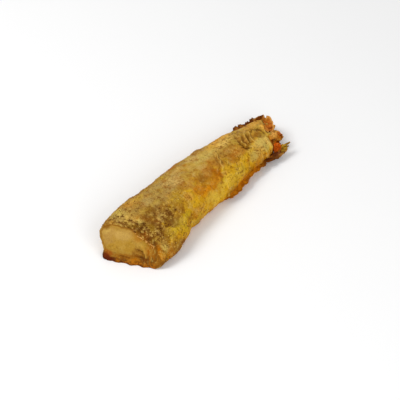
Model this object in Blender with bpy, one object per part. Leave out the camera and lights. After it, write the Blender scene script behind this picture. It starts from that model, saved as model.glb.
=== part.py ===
"""Headless hake, fried whole and lying on its side: one piece, about 29 cm long.

The head cut faces -X and the tail +X, the back is towards +Y and the belly towards -Y.
The fish rests on the flat of its lower flank at z = 0, and the origin is under the middle of its box.
"""

import math

import bmesh
import bpy
from mathutils import Euler, Matrix, Vector, noise

PART = "headless_hake"

# All sizes are in metres. Each row of the body's section runs evenly from the head cut to the tail end.
BACK_REACH = (0.0290, 0.0362, 0.0375, 0.0385, 0.0395, 0.0368, 0.0335, 0.0285, 0.0235)
BELLY_REACH = (0.0400, 0.0410, 0.0335, 0.0285, 0.0272, 0.0280, 0.0250, 0.0212, 0.0195)
RIDGE_HEIGHT = (0.0445, 0.0455, 0.0455, 0.0440, 0.0415, 0.0385, 0.0345, 0.0295, 0.0240)
RIDGE_PLACE = (0.0120, 0.0100, 0.0090, 0.0090, 0.0085, 0.0075, 0.0065, 0.0055, 0.0040)
# Heights of the widest points, as shares of the ridge height.
BACK_SHOULDER = (0.72, 0.62, 0.56, 0.54, 0.52, 0.52, 0.50, 0.48, 0.45)
BELLY_SHOULDER = (0.20, 0.24, 0.28, 0.30, 0.32, 0.34, 0.36, 0.38, 0.40)
# How full each curve is: 1 is a straight slope, 2 an ellipse, 4 nearly square.
BACK_FULLNESS = (3.2, 2.7, 2.5, 2.4, 2.3, 2.2, 2.2, 2.2, 2.2)
BELLY_FULLNESS = (1.60, 1.85, 2.0, 2.1, 2.15, 2.2, 2.2, 2.2, 2.2)
FLOOR_FULLNESS = (2.4, 2.3, 2.2, 2.2, 2.2, 2.2, 2.2, 2.2, 2.2)
FLOOR_SINK = 0.14  # share of the height that the resting weight presses flat
FLOOR_PLACE = -0.002

# The two ends, as lines on the floor from the back's corner to the belly's, and their lean towards the tail.
HEAD_BACK_CORNER = Vector((-0.1418, 0.0176))
HEAD_BELLY_CORNER = Vector((-0.1142, -0.0351))
HEAD_LEAN = math.radians(20)
TAIL_BACK_CORNER = Vector((0.1393, 0.0210))
TAIL_BELLY_CORNER = Vector((0.1068, -0.0220))
TAIL_LEAN = math.radians(4)
END_ROUNDING = 0.0028
LENGTH = TAIL_BACK_CORNER.x - HEAD_BACK_CORNER.x

# Relief of the crust: height of the lumps, and how many go to a metre.
CRUST_LUMPS = ((0.0017, 26), (0.0011, 80), (0.0006, 190))
# Folds wander by this much from their lines.
FOLD_DRIFT = 0.0040
# Folds that show on the skin: start and end seen from above, half-width, and height over the skin.
FOLD_LINES = (
    ((0.0385, 0.0140), (0.0262, -0.0115), 0.0020, 0.0011),
    ((0.0405, 0.0100), (0.0310, -0.0070), 0.0028, -0.0014),
    ((0.0345, 0.0125), (0.0285, -0.0010), 0.0026, -0.0011),
    ((0.0880, 0.0247), (0.0794, 0.0137), 0.0022, -0.0016),
    ((0.0794, 0.0137), (0.0786, 0.0051), 0.0022, -0.0014),
    ((0.0786, 0.0051), (0.0739, 0.0018), 0.0022, -0.0032),
    ((0.0739, 0.0018), (0.0738, -0.0012), 0.0026, -0.0034),
    ((0.0738, -0.0012), (0.0785, -0.0049), 0.0024, -0.0032),
    ((0.0825, 0.0045), (0.0960, 0.0040), 0.0110, -0.0016),
    ((0.0845, 0.0092), (0.0775, 0.0005), 0.0027, 0.0020),
    ((0.0924, 0.0105), (0.0847, 0.0000), 0.0027, 0.0023),
    ((0.0988, 0.0105), (0.0920, -0.0035), 0.0026, 0.0021),
    ((0.0890, 0.0110), (0.0808, 0.0000), 0.0020, -0.0016),
    ((0.0960, 0.0115), (0.0885, -0.0030), 0.0021, -0.0020),
    ((0.1034, 0.0085), (0.1037, 0.0112), 0.0024, -0.0024),
    ((0.1037, 0.0100), (0.1099, 0.0092), 0.0021, -0.0022),
    ((0.1099, 0.0092), (0.1134, 0.0080), 0.0021, -0.0028),
    ((0.1134, 0.0080), (0.1154, 0.0010), 0.0021, -0.0028),
    ((0.1154, 0.0010), (0.1130, -0.0030), 0.0021, -0.0022),
    ((0.1085, 0.0035), (0.1050, -0.0020), 0.0060, -0.0013),
    ((0.0880, -0.0090), (0.1070, -0.0105), 0.0060, 0.0012),
    ((0.1118, -0.0072), (0.1103, -0.0125), 0.0016, 0.0012),
    ((0.1103, -0.0125), (0.1085, -0.0163), 0.0016, 0.0012),
    ((0.1085, -0.0163), (0.1055, -0.0182), 0.0016, 0.0010),
    ((0.1365, 0.0145), (0.1215, -0.0020), 0.0052, -0.0046),
)
KNOB_X = 0.0310
KNOB_HEIGHT = 0.0020
KNOB_HALF_LENGTH = 0.0090
BELLY_WALL_X = -0.0960
BELLY_WALL_SWELL = 0.0012
BELLY_WALL_HALF_LENGTH = 0.0350
VENT_X = -0.0470
VENT_DEPTH = 0.0022
VENT_HALF_LENGTH = 0.0130
NAPE_X = -0.1440
NAPE_DEPTH = 0.0036
NAPE_HALF_LENGTH = 0.0350

# Relief of the cut flesh at the head and of the torn end at the tail.
FLESH_DOME = 0.0030
SKIN_RIM = 0.0016
CAVITY_PLACE = Vector((-0.0160, 0.0110))
CAVITY_HALF_SIZE = Vector((0.0100, 0.0105))
CAVITY_DEPTH = 0.0034
TOOTH_LENGTH = 0.0018
TOOTH_BELOW = 0.0100
TAIL_DOME = 0.0110
TAIL_LIP = 0.0030
TAIL_GRAIN = 0.0040
END_DEPTH = 0.0060

# The crisped fins, measured from roots that lie 3 mm inside the skin: stations and turns of their two ends.
FIN_ROOT = 0.0030
FIN_THICKNESS = 0.0024
FIN_WAVE = 0.0016
BACK_FIN_STATIONS = (0.800, 0.995)
BACK_FIN_TURNS = (0.12, 0.12)
BACK_FIN_REACH = 0.0110
BELLY_FIN_STATIONS = (0.56, 1.00)
BELLY_FIN_TURNS = (2.16, 2.06)
BELLY_FIN_REACH = 0.0115
# Share of the fins' reach that comes and goes along them, in long and in short waves.
BACK_FIN_RAGS = (0.40, 0.16)
BELLY_FIN_RAGS = (0.28, 0.07)

# Crisp flakes of the torn tail: middle, size along, across and through, turn about X, Y and Z, and curl.
TAIL_FLAKES = (
    ((0.1320, 0.0180, 0.0205), (0.0150, 0.0092, 0.0042), (0.3, -0.15, -0.3), 0.10),
    ((0.1325, 0.0105, 0.0210), (0.0160, 0.0098, 0.0042), (0.2, -0.10, 0.1), 0.10),
    ((0.1285, 0.0030, 0.0210), (0.0165, 0.0108, 0.0045), (-0.2, 0.05, -0.1), 0.10),
    ((0.1268, -0.0075, 0.0165), (0.0165, 0.0125, 0.0062), (0.1, 0.12, 0.3), -0.04),
    ((0.1278, -0.0125, 0.0150), (0.0118, 0.0096, 0.0055), (0.3, 0.02, 0.5), 0.05),
    ((0.1215, -0.0080, 0.0190), (0.0140, 0.0105, 0.0048), (-0.1, 0.20, 0.2), 0.05),
    ((0.1200, -0.0150, 0.0122), (0.0110, 0.0090, 0.0060), (0.2, 0.10, 0.4), 0.03),
    ((0.1140, -0.0212, 0.0122), (0.0114, 0.0096, 0.0100), (0.0, 0.20, 0.4), 0.02),
    ((0.1172, -0.0150, 0.0085), (0.0145, 0.0120, 0.0070), (0.2, 0.10, 0.0), 0.05),
    ((0.1080, -0.0255, 0.0075), (0.0280, 0.0085, 0.0055), (-0.2, -0.05, -0.15), 0.03),
    ((0.1245, 0.0040, 0.0085), (0.0230, 0.0230, 0.0100), (0.0, 0.10, 0.2), -0.05),
)
# Burnt splinters of the tail's lower corner: the start and end of each, and its root's radius.
SPLINTERS = (
    (Vector((0.1110, -0.0230, 0.0112)), Vector((0.1308, -0.0268, 0.0138)), 0.0036),
    (Vector((0.1140, -0.0268, 0.0098)), Vector((0.1262, -0.0284, 0.0122)), 0.0026),
)
SPLINTER_TIP = 0.0009
SPLINTER_KINK = 0.0012

SIDES = 112
RINGS = 190
END_RINGS = 16
BODY_TRIANGLES = 7000
FLAT_WITHIN = 0.0004
SHARP_ABOVE = math.radians(50)


def clear_scene():
    for old in list(bpy.data.objects):
        bpy.data.objects.remove(old, do_unlink=True)


def new_collection(name):
    collection = bpy.data.collections.new(name)
    bpy.context.scene.collection.children.link(collection)
    return collection


def new_object(name, shape, collection, materials):
    """An object holding the finished bmesh, with its materials, linked to its collection."""
    bmesh.ops.recalc_face_normals(shape, faces=shape.faces)
    mesh = bpy.data.meshes.new(name)
    shape.to_mesh(mesh)
    shape.free()
    for material in materials:
        mesh.materials.append(material)
    made = bpy.data.objects.new(name, mesh)
    collection.objects.link(made)
    return made


def finish(name, colour, roughness):
    """A plain material in the food's own colour."""
    material = bpy.data.materials.new(name)
    material.use_nodes = True
    shader = material.node_tree.nodes["Principled BSDF"]
    shader.inputs["Base Color"].default_value = (*colour, 1.0)
    shader.inputs["Roughness"].default_value = roughness
    shader.inputs["Metallic"].default_value = 0.0
    return material


def fried_skin():
    return finish("fried_skin", (0.42, 0.24, 0.06), 0.45)


def cooked_flesh():
    return finish("cooked_flesh", (0.58, 0.34, 0.10), 0.50)


def burnt_crisp():
    return finish("burnt_crisp", (0.26, 0.08, 0.02), 0.55)


def along(row, station):
    """The smooth curve through a row of evenly spaced values, at station 0 to 1."""
    last = len(row) - 1
    place = min(max(station, 0.0), 1.0) * last
    i = min(int(place), last - 1)
    u = place - i
    before = row[i - 1] if i > 0 else 2 * row[0] - row[1]
    after = row[i + 2] if i + 2 <= last else 2 * row[last] - row[last - 1]
    a, b = row[i], row[i + 1]
    bend = 2 * before - 5 * a + 4 * b - after
    twist = 3 * a - before - 3 * b + after
    return a + 0.5 * u * ((b - before) + u * (bend + u * twist))


def swell(value, middle, width):
    """A smooth bump of height 1 round middle, gone at a distance of width."""
    away = abs(value - middle) / width
    return 0.0 if away >= 1 else (1 - away * away) ** 2


def ramp(value, low, high):
    """0 below low, 1 above high, with a smooth rise between."""
    u = min(max((value - low) / (high - low), 0.0), 1.0)
    return u * u * (3 - 2 * u)


def corner(angle, fullness):
    """The two shares of a superellipse quarter at an angle from 0 to a quarter turn."""
    power = 2 / fullness
    return max(math.cos(angle), 0.0) ** power, max(math.sin(angle), 0.0) ** power


def section(station, turn):
    """(y, z) on the plain section: turn 0 is the back, 1 the ridge, 2 the belly and 3 the floor."""
    height = along(RIDGE_HEIGHT, station)
    ridge = along(RIDGE_PLACE, station)
    back = along(BACK_REACH, station)
    belly = -along(BELLY_REACH, station)
    back_height = along(BACK_SHOULDER, station) * height
    belly_height = along(BELLY_SHOULDER, station) * height
    floor = -FLOOR_SINK * height
    quarter = int(turn) % 4
    angle = (turn % 1) * math.pi / 2
    if quarter == 0:
        side, rise = corner(angle, along(BACK_FULLNESS, station))
        return ridge + (back - ridge) * side, back_height + (height - back_height) * rise
    if quarter == 1:
        rise, side = corner(angle, along(BELLY_FULLNESS, station))
        return ridge + (belly - ridge) * side, belly_height + (height - belly_height) * rise
    if quarter == 2:
        side, drop = corner(angle, along(FLOOR_FULLNESS, station))
        y = FLOOR_PLACE + (belly - FLOOR_PLACE) * side
        return y, belly_height + (floor - belly_height) * drop
    drop, side = corner(angle, along(FLOOR_FULLNESS, station))
    y = FLOOR_PLACE + (back - FLOOR_PLACE) * side
    return y, back_height + (floor - back_height) * drop


def end_plane(back_corner, belly_corner, lean, y, z):
    """X of an end's sloping plane above the floor point y."""
    skew = (belly_corner.x - back_corner.x) / (belly_corner.y - back_corner.y)
    return back_corner.x + skew * (y - back_corner.y) + z * math.tan(lean)


def line_relief(spot, lines):
    """Height at a spot of folds that run along lines."""
    total = 0.0
    for start, end, half_width, height in lines:
        run = Vector(end) - Vector(start)
        share = (spot - Vector(start)).dot(run) / run.length_squared
        nearest = Vector(start) + run * min(max(share, 0.0), 1.0)
        total += height * swell((spot - nearest).length, 0, half_width)
    return total


def folds(place):
    """Wrinkles and hollows of the skin, wandering a little and gone on the underside."""
    drift = Vector((noise.noise(place * 90), noise.noise(place * 90 + Vector((9, 9, 9)))))
    drift += 0.5 * Vector((noise.noise(place * 210), noise.noise(place * 210 + Vector((9, 9, 9)))))
    spot = Vector((place.x, place.y)) + FOLD_DRIFT * drift
    return line_relief(spot, FOLD_LINES) * ramp(place.z, 0.002, 0.007)


def broad_relief(x, turn):
    """Knob at the back's edge, proud belly wall behind the cut, drawn-in vent, and undercut nape."""
    knob = swell(x, KNOB_X, KNOB_HALF_LENGTH) * swell(turn, 0.35, 0.45)
    wall = swell(x, BELLY_WALL_X, BELLY_WALL_HALF_LENGTH) * swell(turn, 1.85, 0.5)
    vent = swell(x, VENT_X, VENT_HALF_LENGTH) * swell(turn, 2.0, 0.7)
    nape = swell(x, NAPE_X, NAPE_HALF_LENGTH) * swell(turn, 3.72, 0.28)
    return KNOB_HEIGHT * knob + BELLY_WALL_SWELL * wall - VENT_DEPTH * vent - NAPE_DEPTH * nape


def relief(place, turn):
    """How far the crust stands out of the plain section, in metres."""
    lumps = sum(height * noise.noise(place * count) for height, count in CRUST_LUMPS)
    return lumps + broad_relief(place.x, turn) + folds(place)


def end_shrink(distance):
    """How far the section draws in near an end, so that the cut's edge is rounded."""
    if distance >= END_ROUNDING:
        return 0.0
    share = 1 - distance / END_ROUNDING
    return END_ROUNDING * (1 - math.sqrt(max(1 - share * share, 0.0)))


def head_face(y, z, reach):
    """Relief of the cut flesh, towards -X: domed, rimmed by crisp skin, with the belly cavity's dent."""
    rim = SKIN_RIM * swell(reach, 0.95, 0.10) * ramp(-y, 0.0, 0.012)
    aside = (y - CAVITY_PLACE.x) / CAVITY_HALF_SIZE.x
    above = (z - CAVITY_PLACE.y) / CAVITY_HALF_SIZE.y
    cavity = CAVITY_DEPTH * swell(math.hypot(aside, above), 0, 1.0)
    grain = 0.4 * FLESH_DOME * noise.noise(Vector((y, z, 0.4)) * 90)
    ragged = 0.5 + noise.noise(Vector((y * 160, 3.1, z * 60)))
    teeth = TOOTH_LENGTH * ragged * ramp(TOOTH_BELOW - z, 0.0, 0.008) * ramp(reach, 0.6, 1.0)
    return FLESH_DOME * (1 - reach ** 2) + rim - cavity + grain + teeth


def tail_face(y, z, reach):
    """Relief of the torn tail end, towards +X: rough crisped flesh inside a curled lip of skin."""
    dome = TAIL_DOME * (1 - reach ** 2) * ramp(-y, -0.016, 0.004)
    lip = TAIL_LIP * swell(reach, 0.95, 0.16) * ramp(y, -0.014, 0.006) * ramp(z, 0.006, 0.014)
    grain = TAIL_GRAIN * noise.noise(Vector((y, z, 2.7)) * 130)
    return dome + lip + grain * (1 - 0.4 * reach)


def length_place(station, y, z):
    """X at a station, between the two sloping end planes."""
    head = end_plane(HEAD_BACK_CORNER, HEAD_BELLY_CORNER, HEAD_LEAN, y, z)
    tail = end_plane(TAIL_BACK_CORNER, TAIL_BELLY_CORNER, TAIL_LEAN, y, z)
    return head + (tail - head) * station


def body_point(station, turn, reach):
    """A point of the fish: reach is 1 on the skin, and less on the two cut ends."""
    plain = Vector(section(station, turn))
    centre = Vector((along(RIDGE_PLACE, station) - 0.004, along(RIDGE_HEIGHT, station) * 0.45))
    x = length_place(station, plain.x, max(plain.y, 0.0))
    from_head = station * LENGTH
    from_tail = (1 - station) * LENGTH
    outward = (plain - centre).normalized()
    standing = relief(Vector((x, plain.x, plain.y)), turn)
    skin = plain + outward * (standing - end_shrink(from_head) - end_shrink(from_tail))
    skin.y = max(skin.y, 0.0)
    y, z = centre + (skin - centre) * reach
    x = length_place(station, y, z)
    x -= head_face(y, z, reach) * (1 - ramp(from_head, 0.0, END_DEPTH))
    x += tail_face(y, z, reach) * (1 - ramp(from_tail, 0.0, END_DEPTH))
    return Vector((x, y, z))


def make_body(collection, burnt):
    """A capped cylinder, cut into rings, whose every point then takes its place on the fish."""
    shape = bmesh.new()
    bmesh.ops.create_cone(
        shape, cap_ends=True, segments=SIDES, radius1=1, radius2=1, depth=1
    )
    lengthwise = [e for e in shape.edges if abs(e.verts[0].co.z - e.verts[1].co.z) > 0.5]
    bmesh.ops.subdivide_edges(shape, edges=lengthwise, cuts=RINGS - 1, use_grid_fill=False)
    for _ in range(END_RINGS):
        caps = [f for f in shape.faces if len(f.verts) == SIDES]
        bmesh.ops.inset_individual(shape, faces=caps, thickness=1 / (END_RINGS + 1))
    caps = [f for f in shape.faces if len(f.verts) == SIDES]
    bmesh.ops.poke(shape, faces=caps)
    for face in shape.faces:
        middle = face.calc_center_median().z
        face.material_index = 1 if middle < -0.4999 else 2 if middle > 0.4999 else 0
    for vert in shape.verts:
        station = vert.co.z + 0.5
        turn = (math.atan2(vert.co.y, vert.co.x) / math.tau * 4) % 4
        reach = min(math.hypot(vert.co.x, vert.co.y), 1.0)
        vert.co = body_point(station, turn, reach)
    return new_object(PART, shape, collection, (fried_skin(), cooked_flesh(), burnt))


def make_fin(name, collection, burnt, path, reach, rags, seed):
    """A crisped fin: a thin wavy strip whose root is inside the body and whose outer edge is ragged.

    path(u) gives the strip's root and outward direction at u from 0 to 1.
    rags are the shares of its reach that come and go.
    """
    shape = bmesh.new()
    bmesh.ops.create_grid(shape, x_segments=34, y_segments=3, size=0.5)
    for vert in shape.verts:
        u, v = vert.co.x + 0.5, vert.co.y + 0.5
        root, outward = path(u)
        ragged = 0.80 + rags[0] * noise.noise(Vector((u * 11, seed, 0)))
        ragged += rags[1] * noise.noise(Vector((u * 30, seed, 4)))
        fade = min(1.0, 0.10 + 5 * u, 0.35 + 7 * (1 - u))
        wave = FIN_WAVE * noise.noise(Vector((u * 14, seed, 9))) * v
        vert.co = root + outward * (reach * v * max(ragged, 0.2) * fade) + Vector((0, 0, wave))
    bmesh.ops.solidify(shape, geom=shape.faces[:], thickness=FIN_THICKNESS)
    new_object(name, shape, collection, (burnt,))


def make_flake(name, collection, burnt, middle, size, turn, curl, seed):
    """A crisp flake: a flattened ball, bent along its length and roughened."""
    shape = bmesh.new()
    bmesh.ops.create_uvsphere(shape, u_segments=12, v_segments=8, radius=0.5)
    place = Matrix.LocRotScale(Vector(middle), Euler(turn, "XYZ"), None)
    for vert in shape.verts:
        rough = 1 + 0.35 * noise.noise(vert.co * 4 + Vector((seed, 0, 0)))
        bend = curl * (vert.co.x * 2) ** 2 * size[0]
        point = Vector(a * b for a, b in zip(vert.co, size)) * rough
        vert.co = place @ (point + Vector((0, 0, bend)))
    new_object(name, shape, collection, (burnt,))


def make_splinter(name, collection, burnt, start, end, root):
    """A thin burnt splinter, pointing back."""
    shape = bmesh.new()
    bmesh.ops.create_cone(
        shape, cap_ends=True, segments=10, radius1=root, radius2=SPLINTER_TIP, depth=1
    )
    lengthwise = [e for e in shape.edges if abs(e.verts[0].co.z - e.verts[1].co.z) > 0.5]
    bmesh.ops.subdivide_edges(shape, edges=lengthwise, cuts=7, use_grid_fill=False)
    reach = end - start
    turned = reach.to_track_quat("Z", "Y")
    for vert in shape.verts:
        u = vert.co.z + 0.5
        kink = SPLINTER_KINK * noise.noise(Vector((u * 5, 7.0, 2.0 + root)))
        across = turned @ Vector((vert.co.x, vert.co.y, 0))
        vert.co = start + reach * u + across + Vector((0, kink, 0.8 * kink))
    new_object(name, shape, collection, (burnt,))


def between(ends, u):
    """The value at share u of the way from the first end to the second."""
    return ends[0] + (ends[1] - ends[0]) * u


def back_fin_path(u):
    """Root of the crisped back fin, along the back's edge of the rear third."""
    point = body_point(between(BACK_FIN_STATIONS, u), between(BACK_FIN_TURNS, u), 1.0)
    return point - Vector((0, FIN_ROOT, 0)), Vector((0.10, 0.96, 0.20))


def belly_fin_path(u):
    """Root of the crisped belly fin, low along the belly's edge from mid-length back."""
    point = body_point(between(BELLY_FIN_STATIONS, u), between(BELLY_FIN_TURNS, u), 1.0)
    return point + Vector((0, FIN_ROOT, 0)), Vector((0.12, -0.96, -0.12 + 0.25 * u))


def make_crisps(collection, burnt):
    make_fin("back_fin", collection, burnt, back_fin_path, BACK_FIN_REACH, BACK_FIN_RAGS, 1.3)
    make_fin("belly_fin", collection, burnt, belly_fin_path, BELLY_FIN_REACH, BELLY_FIN_RAGS, 5.2)
    for index, (middle, size, turn, curl) in enumerate(TAIL_FLAKES):
        make_flake(f"flake_{index}", collection, burnt, middle, size, turn, curl, index)
    for index, (start, end, root) in enumerate(SPLINTERS):
        make_splinter(f"splinter_{index}", collection, burnt, start, end, root)


def join_crisps(body, crisps):
    """Fuses the crisped pieces to the body, and clears the pieces away."""
    union = body.modifiers.new("crisps", "BOOLEAN")
    union.operation = "UNION"
    union.operand_type = "COLLECTION"
    union.collection = crisps
    union.solver = "EXACT"
    union.material_mode = "TRANSFER"
    bake_modifiers(body)
    for piece in list(crisps.objects):
        bpy.data.objects.remove(piece, do_unlink=True)
    bpy.data.collections.remove(crisps)


def bake_modifiers(piece):
    """Makes the mesh that the piece's modifiers give its own."""
    graph = bpy.context.evaluated_depsgraph_get()
    mesh = bpy.data.meshes.new_from_object(piece.evaluated_get(graph))
    piece.modifiers.clear()
    piece.data = mesh


def keep_largest(piece):
    """Drops any crumb that the union left loose beside the fish."""
    shape = bmesh.new()
    shape.from_mesh(piece.data)
    groups = []
    waiting = set(shape.verts)
    while waiting:
        group = {waiting.pop()}
        edge = list(group)
        while edge:
            near = {e.other_vert(v) for v in edge for e in v.link_edges} - group
            group |= near
            edge = list(near)
        waiting -= group
        groups.append(group)
    groups.sort(key=len)
    loose = [v for group in groups[:-1] for v in group]
    bmesh.ops.delete(shape, geom=loose, context="VERTS")
    shape.to_mesh(piece.data)
    shape.free()


def thin_out(piece):
    """Fewer triangles, with more of them left where the surface bends, and a truly flat underside."""
    triangles = sum(len(face.vertices) - 2 for face in piece.data.polygons)
    fewer = piece.modifiers.new("fewer", "DECIMATE")
    fewer.ratio = BODY_TRIANGLES / triangles
    fewer.use_collapse_triangulate = True
    bake_modifiers(piece)
    for vert in piece.data.vertices:
        if vert.co.z < FLAT_WITHIN:
            vert.co.z = 0.0


def main():
    clear_scene()
    burnt = burnt_crisp()
    body = make_body(new_collection(PART), burnt)
    thin_out(body)
    crisps = new_collection("crisps")
    make_crisps(crisps, burnt)
    join_crisps(body, crisps)
    keep_largest(body)
    body.data.shade_smooth()
    body.data.set_sharp_from_angle(angle=SHARP_ABOVE)


main()
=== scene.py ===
"""Looks of the fried headless hake: skin, cut flesh, torn tail, crisped fins, flakes and crumbs."""

import math
import random

import bmesh
import bpy
from mathutils import Euler, Matrix, Vector, noise


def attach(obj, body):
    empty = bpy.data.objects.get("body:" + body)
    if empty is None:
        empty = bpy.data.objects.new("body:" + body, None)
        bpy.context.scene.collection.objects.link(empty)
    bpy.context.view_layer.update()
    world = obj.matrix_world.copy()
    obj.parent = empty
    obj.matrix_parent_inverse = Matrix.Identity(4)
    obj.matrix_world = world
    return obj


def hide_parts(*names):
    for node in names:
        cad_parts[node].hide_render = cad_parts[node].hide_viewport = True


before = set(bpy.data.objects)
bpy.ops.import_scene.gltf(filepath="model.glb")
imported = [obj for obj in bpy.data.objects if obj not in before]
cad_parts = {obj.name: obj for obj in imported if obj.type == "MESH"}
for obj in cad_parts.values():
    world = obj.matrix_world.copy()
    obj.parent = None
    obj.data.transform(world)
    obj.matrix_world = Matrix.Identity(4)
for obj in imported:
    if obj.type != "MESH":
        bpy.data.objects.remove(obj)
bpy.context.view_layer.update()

# ------------------------------
# The fried skin. The real skin is thin and floured, and it browned and blistered in hot oil:
# granular near the head, with greyish painted sheen on the upper side, golden along the belly
# side, and drawn into wrinkles at the tail. It is one tube round the fish, open only at its two
# cut ends, where flesh fills it.

# Sizes are in metres, and tables that say so are in millimetres.
# Each row of the section runs evenly from the head cut to the tail end.
BACK_REACH = (0.0290, 0.0362, 0.0375, 0.0385, 0.0395, 0.0368, 0.0335, 0.0285, 0.0235)
BELLY_REACH = (0.0400, 0.0410, 0.0335, 0.0285, 0.0272, 0.0280, 0.0250, 0.0212, 0.0195)
RIDGE_HEIGHT = (0.0445, 0.0455, 0.0455, 0.0440, 0.0415, 0.0385, 0.0345, 0.0295, 0.0240)
RIDGE_PLACE = (0.0120, 0.0100, 0.0090, 0.0090, 0.0085, 0.0075, 0.0065, 0.0055, 0.0040)
BACK_SHOULDER = (0.72, 0.62, 0.56, 0.54, 0.52, 0.52, 0.50, 0.48, 0.45)
BELLY_SHOULDER = (0.20, 0.24, 0.28, 0.30, 0.32, 0.34, 0.36, 0.38, 0.40)
BACK_FULLNESS = (3.2, 2.7, 2.5, 2.4, 2.3, 2.2, 2.2, 2.2, 2.2)
BELLY_FULLNESS = (1.60, 1.85, 2.0, 2.1, 2.15, 2.2, 2.2, 2.2, 2.2)
FLOOR_FULLNESS = (2.4, 2.3, 2.2, 2.2, 2.2, 2.2, 2.2, 2.2, 2.2)
FLOOR_SINK = 0.14
FLOOR_PLACE = -0.002
CENTRE_ASIDE = 0.004
CENTRE_RISE = 0.45
HEAD_BACK_CORNER = Vector((-0.1418, 0.0176))
HEAD_BELLY_CORNER = Vector((-0.1142, -0.0351))
HEAD_LEAN = math.radians(20)
TAIL_BACK_CORNER = Vector((0.1393, 0.0210))
TAIL_BELLY_CORNER = Vector((0.1068, -0.0220))
TAIL_LEAN = math.radians(4)
END_ROUNDING = 0.0013
LENGTH = TAIL_BACK_CORNER.x - HEAD_BACK_CORNER.x

# Relief of the crust: the height of its lumps, and how many go to a metre.
CRUST_LUMPS = ((0.0017, 26), (0.0011, 80), (0.0006, 190), (0.00030, 460), (0.00018, 950))
GRAIN_HEIGHT = 0.00045
GRAIN_CELLS = 560
GRAIN_LEVEL = 0.45
# How far the folds wander, and in how many long and short waves to a metre.
FOLD_DRIFT = 0.0040
LONG_DRIFTS = 90
SHORT_DRIFTS = 210
OTHER_NOISE = Vector((9, 9, 9))
# Folds that show on the skin, in millimetres: start and end seen from above, half-width, and height
# over the skin.
FOLD_LINES = (
    ((38.5, 14), (26.2, -11.5), 2, 1.1),
    ((40.5, 10), (31, -7), 2.8, -1.4),
    ((34.5, 12.5), (28.5, -1), 2.6, -1.1),
    ((88, 24.7), (79.4, 13.7), 2.2, -1.6),
    ((79.4, 13.7), (78.6, 5.1), 2.2, -1.4),
    ((78.6, 5.1), (73.9, 1.8), 2.2, -3.2),
    ((73.9, 1.8), (73.8, -1.2), 2.6, -3.4),
    ((73.8, -1.2), (78.5, -4.9), 2.4, -3.2),
    ((82.5, 4.5), (96, 4), 11, -1.6),
    ((84.5, 9.2), (77.5, 0.5), 2.7, 2),
    ((92.4, 10.5), (84.7, 0), 2.7, 2.3),
    ((98.8, 10.5), (92, -3.5), 2.6, 2.1),
    ((89, 11), (80.8, 0), 2, -1.6),
    ((96, 11.5), (88.5, -3), 2.1, -2),
    ((103.4, 8.5), (103.7, 11.2), 2.4, -2.4),
    ((103.7, 10), (109.9, 9.2), 2.1, -2.2),
    ((109.9, 9.2), (113.4, 8), 2.1, -2.8),
    ((113.4, 8), (115.4, 1), 2.1, -2.8),
    ((115.4, 1), (113, -3), 2.1, -2.2),
    ((108.5, 3.5), (105, -2), 6, -1.3),
    ((88, -9), (107, -10.5), 6, 1.2),
    ((111.8, -7.2), (110.3, -12.5), 1.6, 1.2),
    ((110.3, -12.5), (108.5, -16.3), 1.6, 1.2),
    ((108.5, -16.3), (105.5, -18.2), 1.6, 1),
    ((82.5, -15), (88, -20), 2, 1.2),
    ((83.5, -20.5), (88, -25), 2, 1.2),
    ((93.5, -16.5), (101, -20.5), 2, 1.2),
    ((19.3, -26), (17.5, -31), 1.8, 1.2),
    ((136.5, 14.5), (121.5, -2), 5.2, -4.6),
)
# Broad forms: middle along X, half-length, middle turn, half its turns, and height over the skin.
BROAD_FORMS = (
    (0.0310, 0.0090, 0.35, 0.45, 0.0020),  # knob at the back's edge
    (-0.0960, 0.0350, 1.85, 0.50, 0.0012),  # proud belly wall behind the cut
    (-0.0470, 0.0130, 2.00, 0.70, -0.0022),  # drawn-in vent
    (-0.1440, 0.0350, 3.72, 0.28, -0.0036),  # undercut nape
)
# At the tail's lower half the skin ends in a torn edge, and the bare flesh behind it lies lower.
TEAR_X = 0.1112
TEAR_BELOW_Y = -0.0090
TEAR_BLEND = 0.0040
TEAR_SLANTS_BELOW_Y = -0.0145
TEAR_SLANT = 0.8
TEAR_RAG = 0.0022
TEAR_WIDTH = 0.0012
TEAR_DEPTH = 0.0026

# The cut face at the head: domed flesh in a crisp rim, with the belly cavity's dent and a jagged
# lower edge.
FLESH_DOME = 0.0030
SKIN_RIM = 0.0016
CAVITY_PLACE = Vector((-0.0160, 0.0110))
CAVITY_HALF_SIZE = Vector((0.0100, 0.0105))
CAVITY_DEPTH = 0.0034
# Folds of flesh and belly wall on the cut, with (y, z) places and in millimetres too.
CUT_FOLDS = (
    ((-17, 24), (-21.5, 18.5), 2.2, 1.6),
    ((-21.5, 18.5), (-22.5, 11), 2.2, 1.6),
    ((-12, 18.5), (-16.5, 17.5), 1.6, -1.6),
    ((-16.5, 17.5), (-18.5, 13), 1.6, -1),
    ((-11.5, 15), (-16.5, 12.5), 2, 1.2),
    ((-11, 10), (-16, 8), 1.8, -1.2),
    ((-26, 24), (-27.5, 8), 1.8, 1.4),
    ((-30, 23), (-32, 8), 1.6, -1.4),
    ((-34, 20), (-35, 8), 1.6, 1.2),
    ((3, 8.5), (-6, 7), 2, -1.4),
)
TOOTH_LENGTH = 0.0018
TOOTH_BELOW = 0.0100
TAIL_DOME = 0.0110
TAIL_LIP = 0.0030
TAIL_GRAIN = 0.0040
END_DEPTH = 0.0060

SKIN_RINGS = 430
SKIN_SIDES = 216
EXPOSED_SIDES = 0.87  # share of the sides above the underside
EXPOSED_TURNS = (-0.55, 2.45)
LIP_INSETS = (0.008, 0.010, 0.012, 0.020)
INNER_DEPTH = 0.0120
INNER_REACH = 0.975
INNER_BLEND = 0.03


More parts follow.
